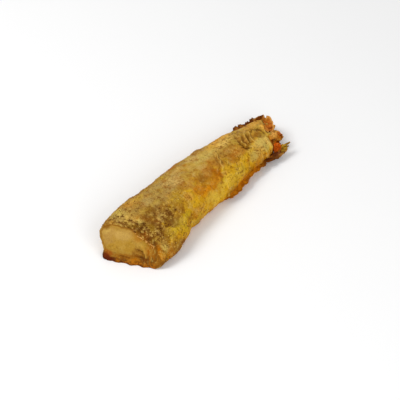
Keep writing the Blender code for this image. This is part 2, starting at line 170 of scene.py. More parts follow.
def along(row, station):
    """The smooth curve through a row of evenly spaced values, at station 0 to 1."""
    last = len(row) - 1
    place = min(max(station, 0.0), 1.0) * last
    i = min(int(place), last - 1)
    u = place - i
    before = row[i - 1] if i > 0 else 2 * row[0] - row[1]
    after = row[i + 2] if i + 2 <= last else 2 * row[last] - row[last - 1]
    a, b = row[i], row[i + 1]
    bend = 2 * before - 5 * a + 4 * b - after
    twist = 3 * a - before - 3 * b + after
    return a + 0.5 * u * ((b - before) + u * (bend + u * twist))


def swell(value, middle, width):
    """A smooth bump of height 1 round middle, gone at a distance of width."""
    away = abs(value - middle) / width
    return 0.0 if away >= 1 else (1 - away * away) ** 2


def ramp(value, low, high):
    """0 below low, 1 above high, with a smooth rise between."""
    u = min(max((value - low) / (high - low), 0.0), 1.0)
    return u * u * (3 - 2 * u)


def wavy(x, y, z):
    """Smooth noise round 0 at a point."""
    return noise.noise(Vector((x, y, z)))


def corner(angle, fullness):
    """The two shares of a superellipse quarter at an angle from 0 to a quarter turn."""
    power = 2 / fullness
    return max(math.cos(angle), 0.0) ** power, max(math.sin(angle), 0.0) ** power


def section(station, turn):
    """(y, z) on the plain section: turn 0 is the back, 1 the ridge, 2 the belly and 3 the floor."""
    quarter = int(turn) % 4
    height = along(RIDGE_HEIGHT, station)
    if quarter in (0, 3):
        edge, shoulder = along(BACK_REACH, station), along(BACK_SHOULDER, station) * height
    else:
        edge, shoulder = -along(BELLY_REACH, station), along(BELLY_SHOULDER, station) * height
    if quarter < 2:
        middle, end = along(RIDGE_PLACE, station), height
        fullness = (BACK_FULLNESS, BELLY_FULLNESS)[quarter]
    else:
        middle, end, fullness = FLOOR_PLACE, -FLOOR_SINK * height, FLOOR_FULLNESS
    shares = corner((turn % 1) * math.pi / 2, along(fullness, station))
    aside, upright = shares if quarter % 2 == 0 else shares[::-1]
    return middle + (edge - middle) * aside, shoulder + (end - shoulder) * upright


def end_plane(back_corner, belly_corner, lean, y, z):
    """X of an end's sloping plane above the floor point y."""
    skew = (belly_corner.x - back_corner.x) / (belly_corner.y - back_corner.y)
    return back_corner.x + skew * (y - back_corner.y) + z * math.tan(lean)


def length_place(station, y, z):
    """X at a station, between the two sloping end planes."""
    head = end_plane(HEAD_BACK_CORNER, HEAD_BELLY_CORNER, HEAD_LEAN, y, z)
    tail = end_plane(TAIL_BACK_CORNER, TAIL_BELLY_CORNER, TAIL_LEAN, y, z)
    return head + (tail - head) * station


def line_relief(spot, lines):
    """Height at a spot of folds that run along lines, which are given in millimetres."""
    total = 0.0
    for start, end, half_width, height in lines:
        start = Vector(start) / 1000
        run = Vector(end) / 1000 - start
        share = (spot - start).dot(run) / run.length_squared
        nearest = start + run * min(max(share, 0.0), 1.0)
        total += height * swell((spot - nearest).length, 0, half_width / 1000)
    return total / 1000


def wander(place):
    """A smooth (x, y) shift that changes from place to place."""
    return Vector((noise.noise(place), noise.noise(place + OTHER_NOISE)))


def folds(place):
    """Wrinkles and hollows of the skin, wandering a little and gone on the underside."""
    drift = wander(place * LONG_DRIFTS) + 0.5 * wander(place * SHORT_DRIFTS)
    spot = Vector((place.x, place.y)) + FOLD_DRIFT * drift
    return line_relief(spot, FOLD_LINES) * ramp(place.z, 0.002, 0.007)


def broad_relief(x, turn):
    return sum(
        height * swell(x, middle, half_length) * swell(turn, middle_turn, half_turn)
        for middle, half_length, middle_turn, half_turn, height in BROAD_FORMS
    )


def crust(place, station):
    """Lumps of the crust, and granules that are coarser towards the head."""
    lumps = sum(height * noise.noise(place * count) for height, count in CRUST_LUMPS)
    nearest = noise.voronoi(place * GRAIN_CELLS)[0][0]
    coarse = 1.5 - ramp(station, 0.25, 0.60)
    return lumps + coarse * GRAIN_HEIGHT * (GRAIN_LEVEL - nearest)


def bare_share(place):
    """1 behind the torn edge of the skin at the tail, 0 on the skin."""
    ragged = TEAR_RAG * wavy(place.y * 240, place.z * 120, 5.0)
    edge = TEAR_X + ragged + TEAR_SLANT * min(place.y - TEAR_SLANTS_BELOW_Y, 0.0)
    lower = ramp(-place.y, -TEAR_BELOW_Y - TEAR_BLEND, -TEAR_BELOW_Y + TEAR_BLEND)
    return ramp(place.x, edge, edge + TEAR_WIDTH) * lower


def end_shrink(distance):
    """How far the section draws in near an end, so that the cut's edge is rounded."""
    if distance >= END_ROUNDING:
        return 0.0
    share = 1 - distance / END_ROUNDING
    return END_ROUNDING * (1 - math.sqrt(max(1 - share * share, 0.0)))


def head_face(y, z, reach):
    """Relief of the cut flesh, towards -X: domed, rimmed by skin, with the belly cavity's dent."""
    rim = SKIN_RIM * swell(reach, 0.95, 0.10) * ramp(-y, 0.0, 0.012)
    aside = (y - CAVITY_PLACE.x) / CAVITY_HALF_SIZE.x
    above = (z - CAVITY_PLACE.y) / CAVITY_HALF_SIZE.y
    cavity = CAVITY_DEPTH * swell(math.hypot(aside, above), 0, 1.0)
    grain = 0.4 * FLESH_DOME * noise.noise(Vector((y, z, 0.4)) * 90)
    ragged = 0.5 + wavy(y * 160, 3.1, z * 60)
    teeth = TOOTH_LENGTH * ragged * ramp(TOOTH_BELOW - z, 0.0, 0.008) * ramp(reach, 0.6, 1.0)
    folded = line_relief(Vector((y, z)), CUT_FOLDS)
    return FLESH_DOME * (1 - reach ** 2) + rim - cavity + grain + teeth + folded


def tail_face(y, z, reach):
    """Relief of the torn tail end, towards +X: rough crisped flesh inside a curled lip of skin."""
    dome = TAIL_DOME * (1 - reach ** 2) * ramp(-y, -0.016, 0.004)
    lip = TAIL_LIP * swell(reach, 0.95, 0.16) * ramp(y, -0.014, 0.006) * ramp(z, 0.006, 0.014)
    grain = TAIL_GRAIN * noise.noise(Vector((y, z, 2.7)) * 130)
    return dome + lip + grain * (1 - 0.4 * reach)


def fish_point(station, turn, reach):
    """(point, relief of the folds, bareness): reach is 1 on the skin, and less on the two cuts."""
    plain = Vector(section(station, turn))
    ridge, height = along(RIDGE_PLACE, station), along(RIDGE_HEIGHT, station)
    centre = Vector((ridge - CENTRE_ASIDE, height * CENTRE_RISE))
    x = length_place(station, plain.x, max(plain.y, 0.0))
    place = Vector((x, plain.x, plain.y))
    from_head = station * LENGTH
    from_tail = (1 - station) * LENGTH
    outward = (plain - centre).normalized()
    folded = folds(place)
    bare = bare_share(place)
    standing = crust(place, station) + broad_relief(x, turn) + folded - TEAR_DEPTH * bare
    skin = plain + outward * (standing - end_shrink(from_head) - end_shrink(from_tail))
    skin.y = max(skin.y, 0.0)
    y, z = centre + (skin - centre) * reach
    x = length_place(station, y, z)
    x -= head_face(y, z, reach) * (1 - ramp(from_head, 0.0, END_DEPTH))
    x += tail_face(y, z, reach) * (1 - ramp(from_tail, 0.0, END_DEPTH))
    return Vector((x, y, z)), folded, bare


def turn_at(share):
    """The turn at a share of the way round: most of the sides lie where the skin shows."""
    low, high = EXPOSED_TURNS
    if share < EXPOSED_SIDES:
        return (low + (high - low) * share / EXPOSED_SIDES) % 4
    return (high + (4 + low - high) * (share - EXPOSED_SIDES) / (1 - EXPOSED_SIDES)) % 4


def mesh_of(name, shape):
    """The finished bmesh as a mesh."""
    mesh = bpy.data.meshes.new(name)
    shape.to_mesh(mesh)
    shape.free()
    return mesh


def placed(name, data):
    """A new object in the scene."""
    made = bpy.data.objects.new(name, data)
    bpy.context.scene.collection.objects.link(made)
    return made


def new_piece(name, shape, material):
    """The finished bmesh as an object of the fish that moves with it and has its finish."""
    bmesh.ops.recalc_face_normals(shape, faces=shape.faces)
    mesh = mesh_of(name, shape)
    mesh.materials.append(material)
    mesh.shade_smooth()
    piece = placed(name, mesh)
    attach(piece, "root")
    return piece


def ringed_cylinder(sides, rings, root, tip):
    """A capped cylinder of length 1, cut across into rings."""
    shape = bmesh.new()
    bmesh.ops.create_cone(shape, cap_ends=True, segments=sides, radius1=root, radius2=tip, depth=1)
    lengthwise = [e for e in shape.edges if abs(e.verts[0].co.z - e.verts[1].co.z) > 0.5]
    bmesh.ops.subdivide_edges(shape, edges=lengthwise, cuts=rings - 1, use_grid_fill=False)
    return shape


def layers(shape, *names):
    """A value of each name for every point, which materials read with mark."""
    return [shape.verts.layers.float.new(name) for name in names]


def tube_of_skin():
    """A ringed cylinder, whose every point then takes its place on the fish."""
    shape = ringed_cylinder(SKIN_SIDES, SKIN_RINGS, 1, 1)
    for inset in LIP_INSETS:
        caps = [f for f in shape.faces if len(f.verts) == SKIN_SIDES]
        bmesh.ops.inset_individual(shape, faces=caps, thickness=inset)
    caps = [f for f in shape.faces if len(f.verts) == SKIN_SIDES]
    bmesh.ops.poke(shape, faces=caps)
    fold_layer, bare_layer = layers(shape, "fold", "bare")
    for vert in shape.verts:
        station = vert.co.z + 0.5
        turn = turn_at((math.atan2(vert.co.y, vert.co.x) / math.tau) % 1)
        reach = min(math.hypot(vert.co.x, vert.co.y), 1.0)
        vert.co, vert[fold_layer], vert[bare_layer] = fish_point(station, turn, reach)
        sunk = INNER_DEPTH * ramp(INNER_REACH - reach, 0.0, INNER_BLEND)
        vert.co.x += sunk if station < 0.5 else -sunk
    return shape


def tint(red, green, blue):
    """A colour from its display values of 0 to 255, as a shader takes it."""
    shares = (value / 255 for value in (red, green, blue))
    return (*(s / 12.92 if s <= 0.04045 else ((s + 0.055) / 1.055) ** 2.4 for s in shares), 1.0)


def put(tree, kind, sockets=None, **settings):
    """A node of a kind, with its settings; sockets take a value or a link from another socket."""
    node = tree.nodes.new("ShaderNode" + kind)
    for name, value in settings.items():
        setattr(node, name, value)
    for name, value in (sockets or {}).items():
        if isinstance(value, bpy.types.NodeSocket):
            tree.links.new(value, node.inputs[name])
        else:
            node.inputs[name].default_value = value
    return node


def maths(tree, operation, *values):
    return put(tree, "Math", dict(enumerate(values)), operation=operation).outputs[0]


def blend(tree, share, first, second):
    """first, with second laid over it by share."""
    sockets = {0: share, 6: first, 7: second}
    return put(tree, "Mix", sockets, data_type="RGBA", clamp_factor=True).outputs[2]


def fade(tree, value, low, high, start=0.0, end=1.0):
    """start up to low and end from high, with a smooth change between."""
    sockets = {"Value": value, "From Min": low, "From Max": high, "To Min": start, "To Max": end}
    return put(tree, "MapRange", sockets, interpolation_type="SMOOTHSTEP").outputs[0]


def coated(tree, colour, *coats):
    """The colour under coats of other shades, each laid on where a value goes from low to high."""
    for value, low, high, most, shade in coats:
        colour = blend(tree, fade(tree, value, low, high, 0.0, most), colour, shade)
    return colour


def mottle(tree, place, count, detail=4.0, rough=0.6, offset=0.0):
    """Cloudy noise of 0 to 1, with that many clouds to a metre."""
    moved = put(tree, "VectorMath", {0: place, 1: (offset, offset, offset)}, operation="ADD")
    sockets = {"Vector": moved.outputs[0], "Scale": count, "Detail": detail, "Roughness": rough}
    return put(tree, "TexNoise", sockets).outputs["Fac"]


def new_group(name, inputs, outputs):
    """An empty node group with float and vector sockets, and its two ends."""
    group = bpy.data.node_groups.new(name, "ShaderNodeTree")
    for sockets, way in ((inputs, "INPUT"), (outputs, "OUTPUT")):
        for socket, kind in sockets:
            group.interface.new_socket(socket, in_out=way, socket_type="NodeSocket" + kind)
    given, made = (group.nodes.new("NodeGroup" + end) for end in ("Input", "Output"))
    return group, given.outputs, made.inputs


def grouped(tree, group, sockets):
    return put(tree, "Group", sockets, node_tree=group).outputs


def crust_grain_group():
    """Fried grain: its height, and a mask of dark scorched dots."""
    group, given, made = new_group(
        "crust grain",
        (("Vector", "Vector"), ("Cells", "Float")),
        (("Height", "Float"), ("Dark Dots", "Float")),
    )
    cells = put(group, "TexVoronoi", {"Vector": given["Vector"], "Scale": given["Cells"]})
    chosen = put(group, "SeparateColor", {"Color": cells.outputs["Color"]})
    round_dot = fade(group, cells.outputs["Distance"], 0.20, 0.48, 1.0, 0.0)
    dark = fade(group, chosen.outputs[0], 0.66, 0.74)
    clouds = put(group, "TexNoise", {"Vector": given["Vector"], "Scale": 900.0, "Detail": 5.0})
    height = maths(group, "MULTIPLY_ADD", round_dot, 0.55, clouds.outputs["Fac"])
    group.links.new(height, made["Height"])
    group.links.new(maths(group, "MULTIPLY", dark, round_dot), made["Dark Dots"])
    return group


def browned_patch_group():
    """A patch with ragged soft edges round a middle point, of a size along, across and up."""
    group, given, made = new_group(
        "browned patch",
        (("Vector", "Vector"), ("Middle", "Vector"), ("Size", "Vector"), ("Turn", "Float"),
         ("Ragged", "Float")),
        (("Mask", "Float"),),
    )
    away = put(group, "VectorMath", {0: given["Vector"], 1: given["Middle"]}, operation="SUBTRACT")
    turned = put(group, "VectorRotate", {"Vector": away.outputs[0], "Angle": given["Turn"]},
                 rotation_type="Z_AXIS")
    scaled = put(group, "VectorMath", {0: turned.outputs[0], 1: given["Size"]}, operation="DIVIDE")
    far = put(group, "VectorMath", {0: scaled.outputs[0]}, operation="LENGTH")
    clouds = put(group, "TexNoise", {"Vector": given["Vector"], "Scale": 150.0, "Detail": 5.0})
    rough = maths(group, "SUBTRACT", clouds.outputs["Fac"], 0.5)
    rough = maths(group, "MULTIPLY", rough, given["Ragged"])
    edge = maths(group, "ADD", far.outputs["Value"], rough)
    group.links.new(fade(group, edge, 0.50, 1.10, 1.0, 0.0), made["Mask"])
    return group


CRUST_GRAIN = crust_grain_group()
BROWNED_PATCH = browned_patch_group()

# Colours of the crust as they show in daylight; grey tan and pale tan also serve as painted sheen.
GOLD = tint(216, 164, 26)
TAN = tint(186, 146, 62)
# Grey tan is painted sheen: reflections of the sky on the oily upper skin.
GREY_TAN_SHEEN = tint(176, 148, 84)
# Pale tan is paler frying in the clouds, and painted sheen in the patches on the upper skin.
PALE_TAN_AND_SHEEN = tint(212, 176, 98)
LOW_ORANGE = tint(216, 134, 4)
LOW_BROWN = tint(128, 66, 4)
UMBER = tint(132, 96, 38)
BROWN = tint(116, 70, 18)
RUST = tint(168, 92, 2)
ORANGE = tint(198, 126, 24)
RED_BROWN = tint(112, 48, 4)
# Near-black brown of scorched specks, also painted shade in the deepest fold valleys.
SCORCHED_AND_SHADE = tint(66, 32, 6)
# Pale flour, also painted highlight on the fold crests.
FLOUR_AND_HIGHLIGHT = tint(234, 194, 98)
OLIVE = tint(198, 164, 32)
AMBER = tint(222, 164, 66)
PALE_GREEN = tint(206, 180, 92)
BUTTER = tint(230, 190, 62)
KHAKI = tint(166, 125, 46)
COPPER = tint(175, 113, 36)
HAZEL = tint(147, 100, 32)
BARK = tint(94, 56, 14)

# Patches that show on the skin: middle and size in millimetres, colour and strength, then the
# raggedness and the turn about Z in degrees where they aren't the usual ones.
# The grey tan and pale tan patches on the upper skin are painted sheen.
SKIN_PATCHES = (
    ((-44, 14, 44), (40, 14, 30), GREY_TAN_SHEEN, 0.8, 0.9),
    ((-108, 16, 45), (18, 14, 20), GREY_TAN_SHEEN, 0.7, 0.9, 10),
    ((-68, 6, 45), (24, 12, 20), GREY_TAN_SHEEN, 0.6),
    ((-64, -29, 29), (32, 9, 18), OLIVE, 0.8, 1),
    ((-88, -6, 42), (22, 16, 18), UMBER, 0.8, 1.3, 15),
    ((-97, -19, 34), (16, 12, 16), UMBER, 0.85, 1.2, 20),
    ((-113, -2, 38), (30, 9, 26), BROWN, 0.8, 1.3, 76),
    ((-118, 26, 43), (8, 7, 10), BROWN, 0.76, 1),
    ((-110, -17, 32.5), (4, 10.5, 10), BROWN, 0.85, 1, 10),
    ((-115, 0, 40), (4.5, 11, 8), BARK, 0.8, 1.2, 10),
    ((-92, -28, 28), (6, 11, 12), BROWN, 0.76, 1, 20),
    ((-84, 2, 44), (6, 12, 10), BROWN, 0.71, 1.2, -40),
    ((-74, -12, 40), (18, 14, 16), UMBER, 0.66, 1.3),
    ((-80, -12, 40), (5, 5, 10), GREY_TAN_SHEEN, 0.5, 0.8),
    ((-75, -19, 37), (9, 7, 12), SCORCHED_AND_SHADE, 0.66, 1.2, 20),
    ((-97, -1, 43), (9, 8, 10), BROWN, 0.61, 1.3),
    ((-81, -21, 35), (8, 6, 10), BROWN, 0.57),
    ((-101, -21, 31), (10, 6, 10), BROWN, 0.61, 1.3, 30),
    ((-92, -19, 35), (8, 6, 10), BROWN, 0.57, 1.3),
    ((-108, 9, 45), (9, 6, 10), TAN, 0.5),
    ((-68, 15, 46), (10, 8, 10), UMBER, 0.33),
    ((-71, -25, 34), (13, 7, 10), UMBER, 0.76, 1.3, 10),
    ((-66, -2, 45), (12, 7, 12), UMBER, 0.42, 1.3),
    ((-88, 27, 44), (14, 8, 12), AMBER, 0.35, 1.2, 10),
    ((-48, -14, 41), (30, 11, 16), UMBER, 0.35, 1.6, 5),
    ((-56, -14, 40), (12, 8, 10), UMBER, 0.4, 1.3),
    ((-39, -28, 25), (12, 6, 10), RUST, 0.6, 1.3),
    ((-1, -26, 19), (10, 6, 9), BUTTER, 0.8, 1),
    ((24, -22, 26), (14, 7, 11), BUTTER, 0.6),
    ((-24, 11, 43), (14, 8, 12), PALE_TAN_AND_SHEEN, 0.5, 1),
    ((1, -12, 38), (26, 12, 16), RUST, 0.6, 1.3, 12),
    ((-20, -15, 38), (10, 8, 12), ORANGE, 0.75),
    ((-8, -21, 32), (14, 6, 10), LOW_ORANGE, 0.8),
    ((8, -20, 31), (10, 7, 10), ORANGE, 0.85, 1.1, 20),
    ((16, -12, 35), (7, 10, 10), ORANGE, 0.9, 1.1, 10),
    ((14, -1, 39), (11, 6, 10), COPPER, 0.8),
    ((-2, -6, 40), (15, 7, 12), HAZEL, 0.65, 1.5, 5),
    ((-37, -2, 44), (20, 6, 12), UMBER, 0.4, 1.5),
    ((-90, 14, 46), (18, 6, 10), UMBER, 0.42, 1.4),
    # painted shade along the back's edge
    ((-62, 31, 38), (20, 6, 10), BROWN, 0.42),
    ((31, 31, 34), (13, 7, 8), BROWN, 0.65, 1.5),
    ((10, 6, 40), (8, 5, 10), PALE_TAN_AND_SHEEN, 0.55),
    ((-62, -22, 36), (10, 6, 10), HAZEL, 0.61, 1.3),
    ((-31, -21, 34), (10, 6, 10), GOLD, 0.5),
    ((-98, -12.5, 38), (6, 7, 10), BROWN, 0.66, 1.1, 20),
    ((-103.5, -2.5, 42), (6, 6, 10), PALE_GREEN, 0.65, 1.1),
    ((-104.5, 11, 46), (9, 7, 10), TAN, 0.45),
    ((-64, 11, 46), (22, 10, 12), KHAKI, 0.5, 1.4),
    ((64, -22, 12), (12, 8, 10), GOLD, 0.6),
    ((12, 26, 38), (22, 7, 10), GREY_TAN_SHEEN, 0.7, 1),
    ((22, 16, 39), (28, 9, 12), PALE_GREEN, 0.65, 1.1, -5),
    ((54, 13, 36), (12, 7, 10), FLOUR_AND_HIGHLIGHT, 0.75, 1.2, -5),
    ((81, 22, 30), (9, 6, 10), FLOUR_AND_HIGHLIGHT, 0.5, 1.2, -5),
    ((57, 24, 33), (34, 8, 12), AMBER, 0.85, 0.9, -10),
    ((52, 4, 36), (18, 9, 12), KHAKI, 0.75, 1.3, -10),
    ((62, 19, 34), (10, 7, 10), FLOUR_AND_HIGHLIGHT, 0.75, 1.3),
    ((73, 11, 34), (8, 6, 10), TAN, 0.75),
    ((77, -2, 32), (8, 7, 10), HAZEL, 0.8),
    ((63, -6, 34), (24, 7, 12), COPPER, 0.8, 1.2, -8),
    ((88, 5, 31), (18, 10, 12), KHAKI, 0.55, 1),
    ((84, 6, 31), (10, 9, 12), COPPER, 0.35),
    ((105.5, 0, 27), (7.5, 6.2, 10), HAZEL, 0.8, 0.9, -35),
    # painted shade in the arching fold valley near the tail
    ((107.8, 9.6, 28), (7.2, 1.8, 6), BARK, 0.8, 0.6, 21),
    ((113.5, 3, 26), (8, 1.8, 6), BARK, 0.8, 0.6, 82),
    ((99, -10, 25), (17, 8, 12), PALE_GREEN, 0.85, 0.8, -10),
    ((119, 20, 22), (30, 9, 12), AMBER, 0.85, 1, -14),
    ((122, -3, 22), (7, 7, 10), GREY_TAN_SHEEN, 0.85, 0.7),
    ((101, -15, 21), (9, 6, 10), PALE_GREEN, 0.85, 0.9, -15),
    ((29, -3, 37), (13, 11, 12), COPPER, 0.85),
    ((10, -5, 39), (10, 6, 10), COPPER, 0.75),
    ((-24, -5, 42), (10, 7, 10), TAN, 0.8),
    ((-16, 9, 43), (10, 6, 10), TAN, 0.75),
    ((29, 21, 38), (10, 6, 10), TAN, 0.75),
    ((-28, 7, 43), (9, 5, 10), PALE_TAN_AND_SHEEN, 0.75),
    ((-38, 17, 43), (11, 8, 10), PALE_TAN_AND_SHEEN, 0.7),
    ((-36, -14, 39), (7, 6, 10), AMBER, 0.75),
    ((13, 24, 38), (13, 6, 10), PALE_TAN_AND_SHEEN, 0.7),
    ((-79, -15, 40), (13, 7, 12), UMBER, 0.8, 1.3),
    ((-68, -6, 44), (8, 6, 10), HAZEL, 0.7),
    ((-90, 5, 45), (8, 6, 10), TAN, 0.7),
    ((-77, 11, 46), (9, 6, 10), GREY_TAN_SHEEN, 0.7),
    ((-112, 27, 43), (11, 6, 10), PALE_GREEN, 0.7, 1.1),
    ((-32, -29, 22), (9, 6, 10), AMBER, 0.65),
    ((-4, -24, 23), (10, 6, 10), BUTTER, 0.65),
    ((10, -24, 26), (7, 6, 10), BUTTER, 0.6),
    ((46, -22, 23), (9, 6, 10), BUTTER, 0.65),
    ((57, -25, 9), (14, 6, 8), ORANGE, 0.4),
    ((17, -27, 11), (9, 6, 8), GOLD, 0.65),
    ((-71, -35, 22), (8, 6, 10), GOLD, 0.65),
    ((-54, -31, 22), (6, 6, 10), ORANGE, 0.6),
    ((78, -17, 23), (10, 6, 10), PALE_GREEN, 0.7),
    ((89, -16, 21), (8, 6, 10), AMBER, 0.65),
    ((84, -21, 16), (10, 5, 6), ORANGE, 0.65),
    ((109, -13, 21), (7, 5, 10), FLOUR_AND_HIGHLIGHT, 0.8, 1.1),
    ((109, -4, 25), (7, 5, 10), KHAKI, 0.85),
    ((26, -30, 8), (16, 9, 12), BROWN, 0.5),
    ((-107, -30, 18), (10, 14, 20), RUST, 0.9, 1),
    ((-100, -35, 21), (6, 7, 12), PALE_GREEN, 0.75, 1.1),
    ((-110, -36, 7), (10, 10, 6), BROWN, 0.85),
    ((-91, -41, 14), (7, 6, 9), BROWN, 0.5, 1.1),
    ((-105, -38.5, 13), (6, 5, 7), BROWN, 0.7, 1.1),
    ((-109, -35, 14), (8, 8, 7), ORANGE, 0.8),
    ((-102, -26, 27), (6, 7, 10), KHAKI, 0.8),
    ((-108, -20, 30), (6, 8, 10), BROWN, 0.85, 1.2, 10),
    ((-76, -40, 10), (13, 7, 11), LOW_BROWN, 0.85),
    ((-97, -40, 12), (8, 6, 9), RUST, 0.75),
    ((-129, 26, 41), (6, 5, 7), HAZEL, 0.8, 1.1),
    ((-109, -23, 27), (7, 8, 9), BARK, 0.85, 1.1),
    ((-114, -6, 39), (5, 9, 7), LOW_BROWN, 0.5),
    ((-110, -17, 32), (5, 9, 8), LOW_BROWN, 0.55),
    ((30, 18, 38), (26, 6, 8), PALE_GREEN, 0.4, 1.2, -5),
    ((-112, 22, 44), (10, 6, 8), PALE_GREEN, 0.4),
    ((-95, -31, 25), (5, 5, 6), HAZEL, 0.7),
    ((-86, -28, 30), (6, 5, 8), KHAKI, 0.65),
    ((-84, -34, 26), (6, 5, 6), KHAKI, 0.5),
    ((-108, -6, 39), (8, 6, 8), BARK, 0.75, 1.3),
    ((-98, -1, 43), (6, 6, 8), HAZEL, 0.65, 1.3),
    ((-74, -16, 39), (8, 6, 8), BROWN, 0.65, 1.3),
    ((-89, -15, 38), (7, 6, 8), BROWN, 0.6, 1.3),
    ((-84, -39, 17), (13, 5, 8), HAZEL, 0.7),
    ((-24, -3, 43), (10, 6, 8), COPPER, 0.5, 1.3),
    ((-62, -29, 32), (8, 5, 8), BUTTER, 0.45, 1.3),
    ((-38, -29, 11), (8, 6, 6), KHAKI, 0.7),
    ((2, 16, 41), (10, 6, 8), TAN, 0.7),
    ((33, -2, 38), (9, 7, 8), HAZEL, 0.75),
    ((18, -10, 36), (8, 7, 8), RUST, 0.75),
    ((56, 4, 35), (8, 5, 8), COPPER, 0.5),
    ((95, 2, 29), (7, 6, 8), HAZEL, 0.5),
    ((95, -27, 9), (10, 6, 7), SCORCHED_AND_SHADE, 0.85, 1),
    ((-17, 8, 43), (8, 5, 8), KHAKI, 0.5),
    ((-98, 18, 46), (12, 5, 8), TAN, 0.5, 1.3),
    ((72, 18, 33), (7, 5, 8), FLOUR_AND_HIGHLIGHT, 0.55),
    # painted light: a bright orange tint that cancels the shade of the hollow beside the curl
    ((122, 5, 25), (7, 6, 8), tint(252, 186, 76), 0.85, 1),
    ((-14, 22, 41), (9, 5, 8), PALE_TAN_AND_SHEEN, 0.55),
    ((-33, -29, 17), (8, 6, 8), OLIVE, 0.6),
    ((-11, -24, 26), (8, 6, 8), BUTTER, 0.6),
    ((84, 2, 31), (6, 5, 8), COPPER, 0.4),
    ((49, -11, 32), (7, 6, 8), ORANGE, 0.45),
)
CORNER_CHAR = (((-139, 18, 3), (10, 9, 8), tint(70, 18, 2), 0.92, 1),)
# Where scorched specks crowd: strength, and middle, size, raggedness and turn as above.
SPECKLED = (
    (1.0, (-110, -2, 38), (32, 13, 30), 1.4, 76),
    (0.8, (-76, -12, 40), (20, 12, 20), 1.4),
    (0.9, (-92, -22, 32), (18, 10, 18), 1.4),
)

SHINE = 0.06  # fried crust drinks its oil, so it shines less than bare plastic would
OILY_IOR = 1.30


def new_material(name, roughness, coat):
    """A material, its node tree, and object coordinates in it."""
    material = bpy.data.materials.new(name)
    material.use_nodes = True
    tree = material.node_tree
    sockets = tree.nodes["Principled BSDF"].inputs
    sockets["Roughness"].default_value = roughness
    sockets["Coat Weight"].default_value = coat
    sockets["Coat Roughness"].default_value = 0.30
    sockets["Specular IOR Level"].default_value = SHINE
    sockets["IOR"].default_value = OILY_IOR
    return material, tree, put(tree, "TexCoord").outputs["Object"]


def mark(tree, name):
    """The value that a mesh's own attribute holds."""
    return put(tree, "Attribute", attribute_name=name).outputs["Fac"]


def finished(material, colour, height=None, distance=0.0, strength=0.0, roughness=None):
    """The material with its colour, and a bump and a roughness (cloud, least, most) where given."""
    tree = material.node_tree
    sockets = tree.nodes["Principled BSDF"].inputs
    tree.links.new(colour, sockets["Base Color"])
    if height is not None:
        bump = put(tree, "Bump", {"Height": height, "Distance": distance, "Strength": strength})
        tree.links.new(bump.outputs["Normal"], sockets["Normal"])
    if roughness is not None:
        cloud, least, most = roughness
        tree.links.new(fade(tree, cloud, 0.3, 0.7, least, most), sockets["Roughness"])
    return material


def weighed(tree, terms):
    """0.5 plus each noise's swing round 0.5, times its weight."""
    total = 0.5
    for cloud, weight in terms:
        total = maths(tree, "MULTIPLY_ADD", maths(tree, "SUBTRACT", cloud, 0.5), weight, total)
    return total


def patch_mask(tree, place, middle, size, ragged=1.2, turn=0):
    """Where a ragged patch lies, its middle and size in millimetres and its turn in degrees."""
    sockets = {"Vector": place, "Middle": Vector(middle) / 1000, "Size": Vector(size) / 1000,
               "Turn": math.radians(turn), "Ragged": ragged}
    return grouped(tree, BROWNED_PATCH, sockets)["Mask"]


def patched(tree, place, colour, rows):
    """The colour with each row's ragged patch laid over it in turn."""
    for middle, size, shade, strength, *unusual in rows:
        mask = patch_mask(tree, place, middle, size, *unusual)
        colour = blend(tree, maths(tree, "MULTIPLY", mask, strength), colour, shade)
    return colour


def clouded(tree, place, colour, strength, offset):
    """The colour under rusty, olive and pale clouds some millimetres wide, as frying is uneven."""
    rusty = mottle(tree, place, 75.0, 2.0, 0.50, offset)
    pallid = mottle(tree, place, 160.0, 2.5, 0.55, offset + 4)
    for cloud, low, high, most, shade in (
        (rusty, 0.50, 0.74, 0.85, RUST),
        (rusty, 0.48, 0.26, 0.60, OLIVE),
        (pallid, 0.52, 0.72, 0.70, PALE_TAN_AND_SHEEN),
    ):
        share = maths(tree, "MULTIPLY", fade(tree, cloud, low, high, 0.0, most), strength)
        colour = blend(tree, share, colour, shade)
    return colour


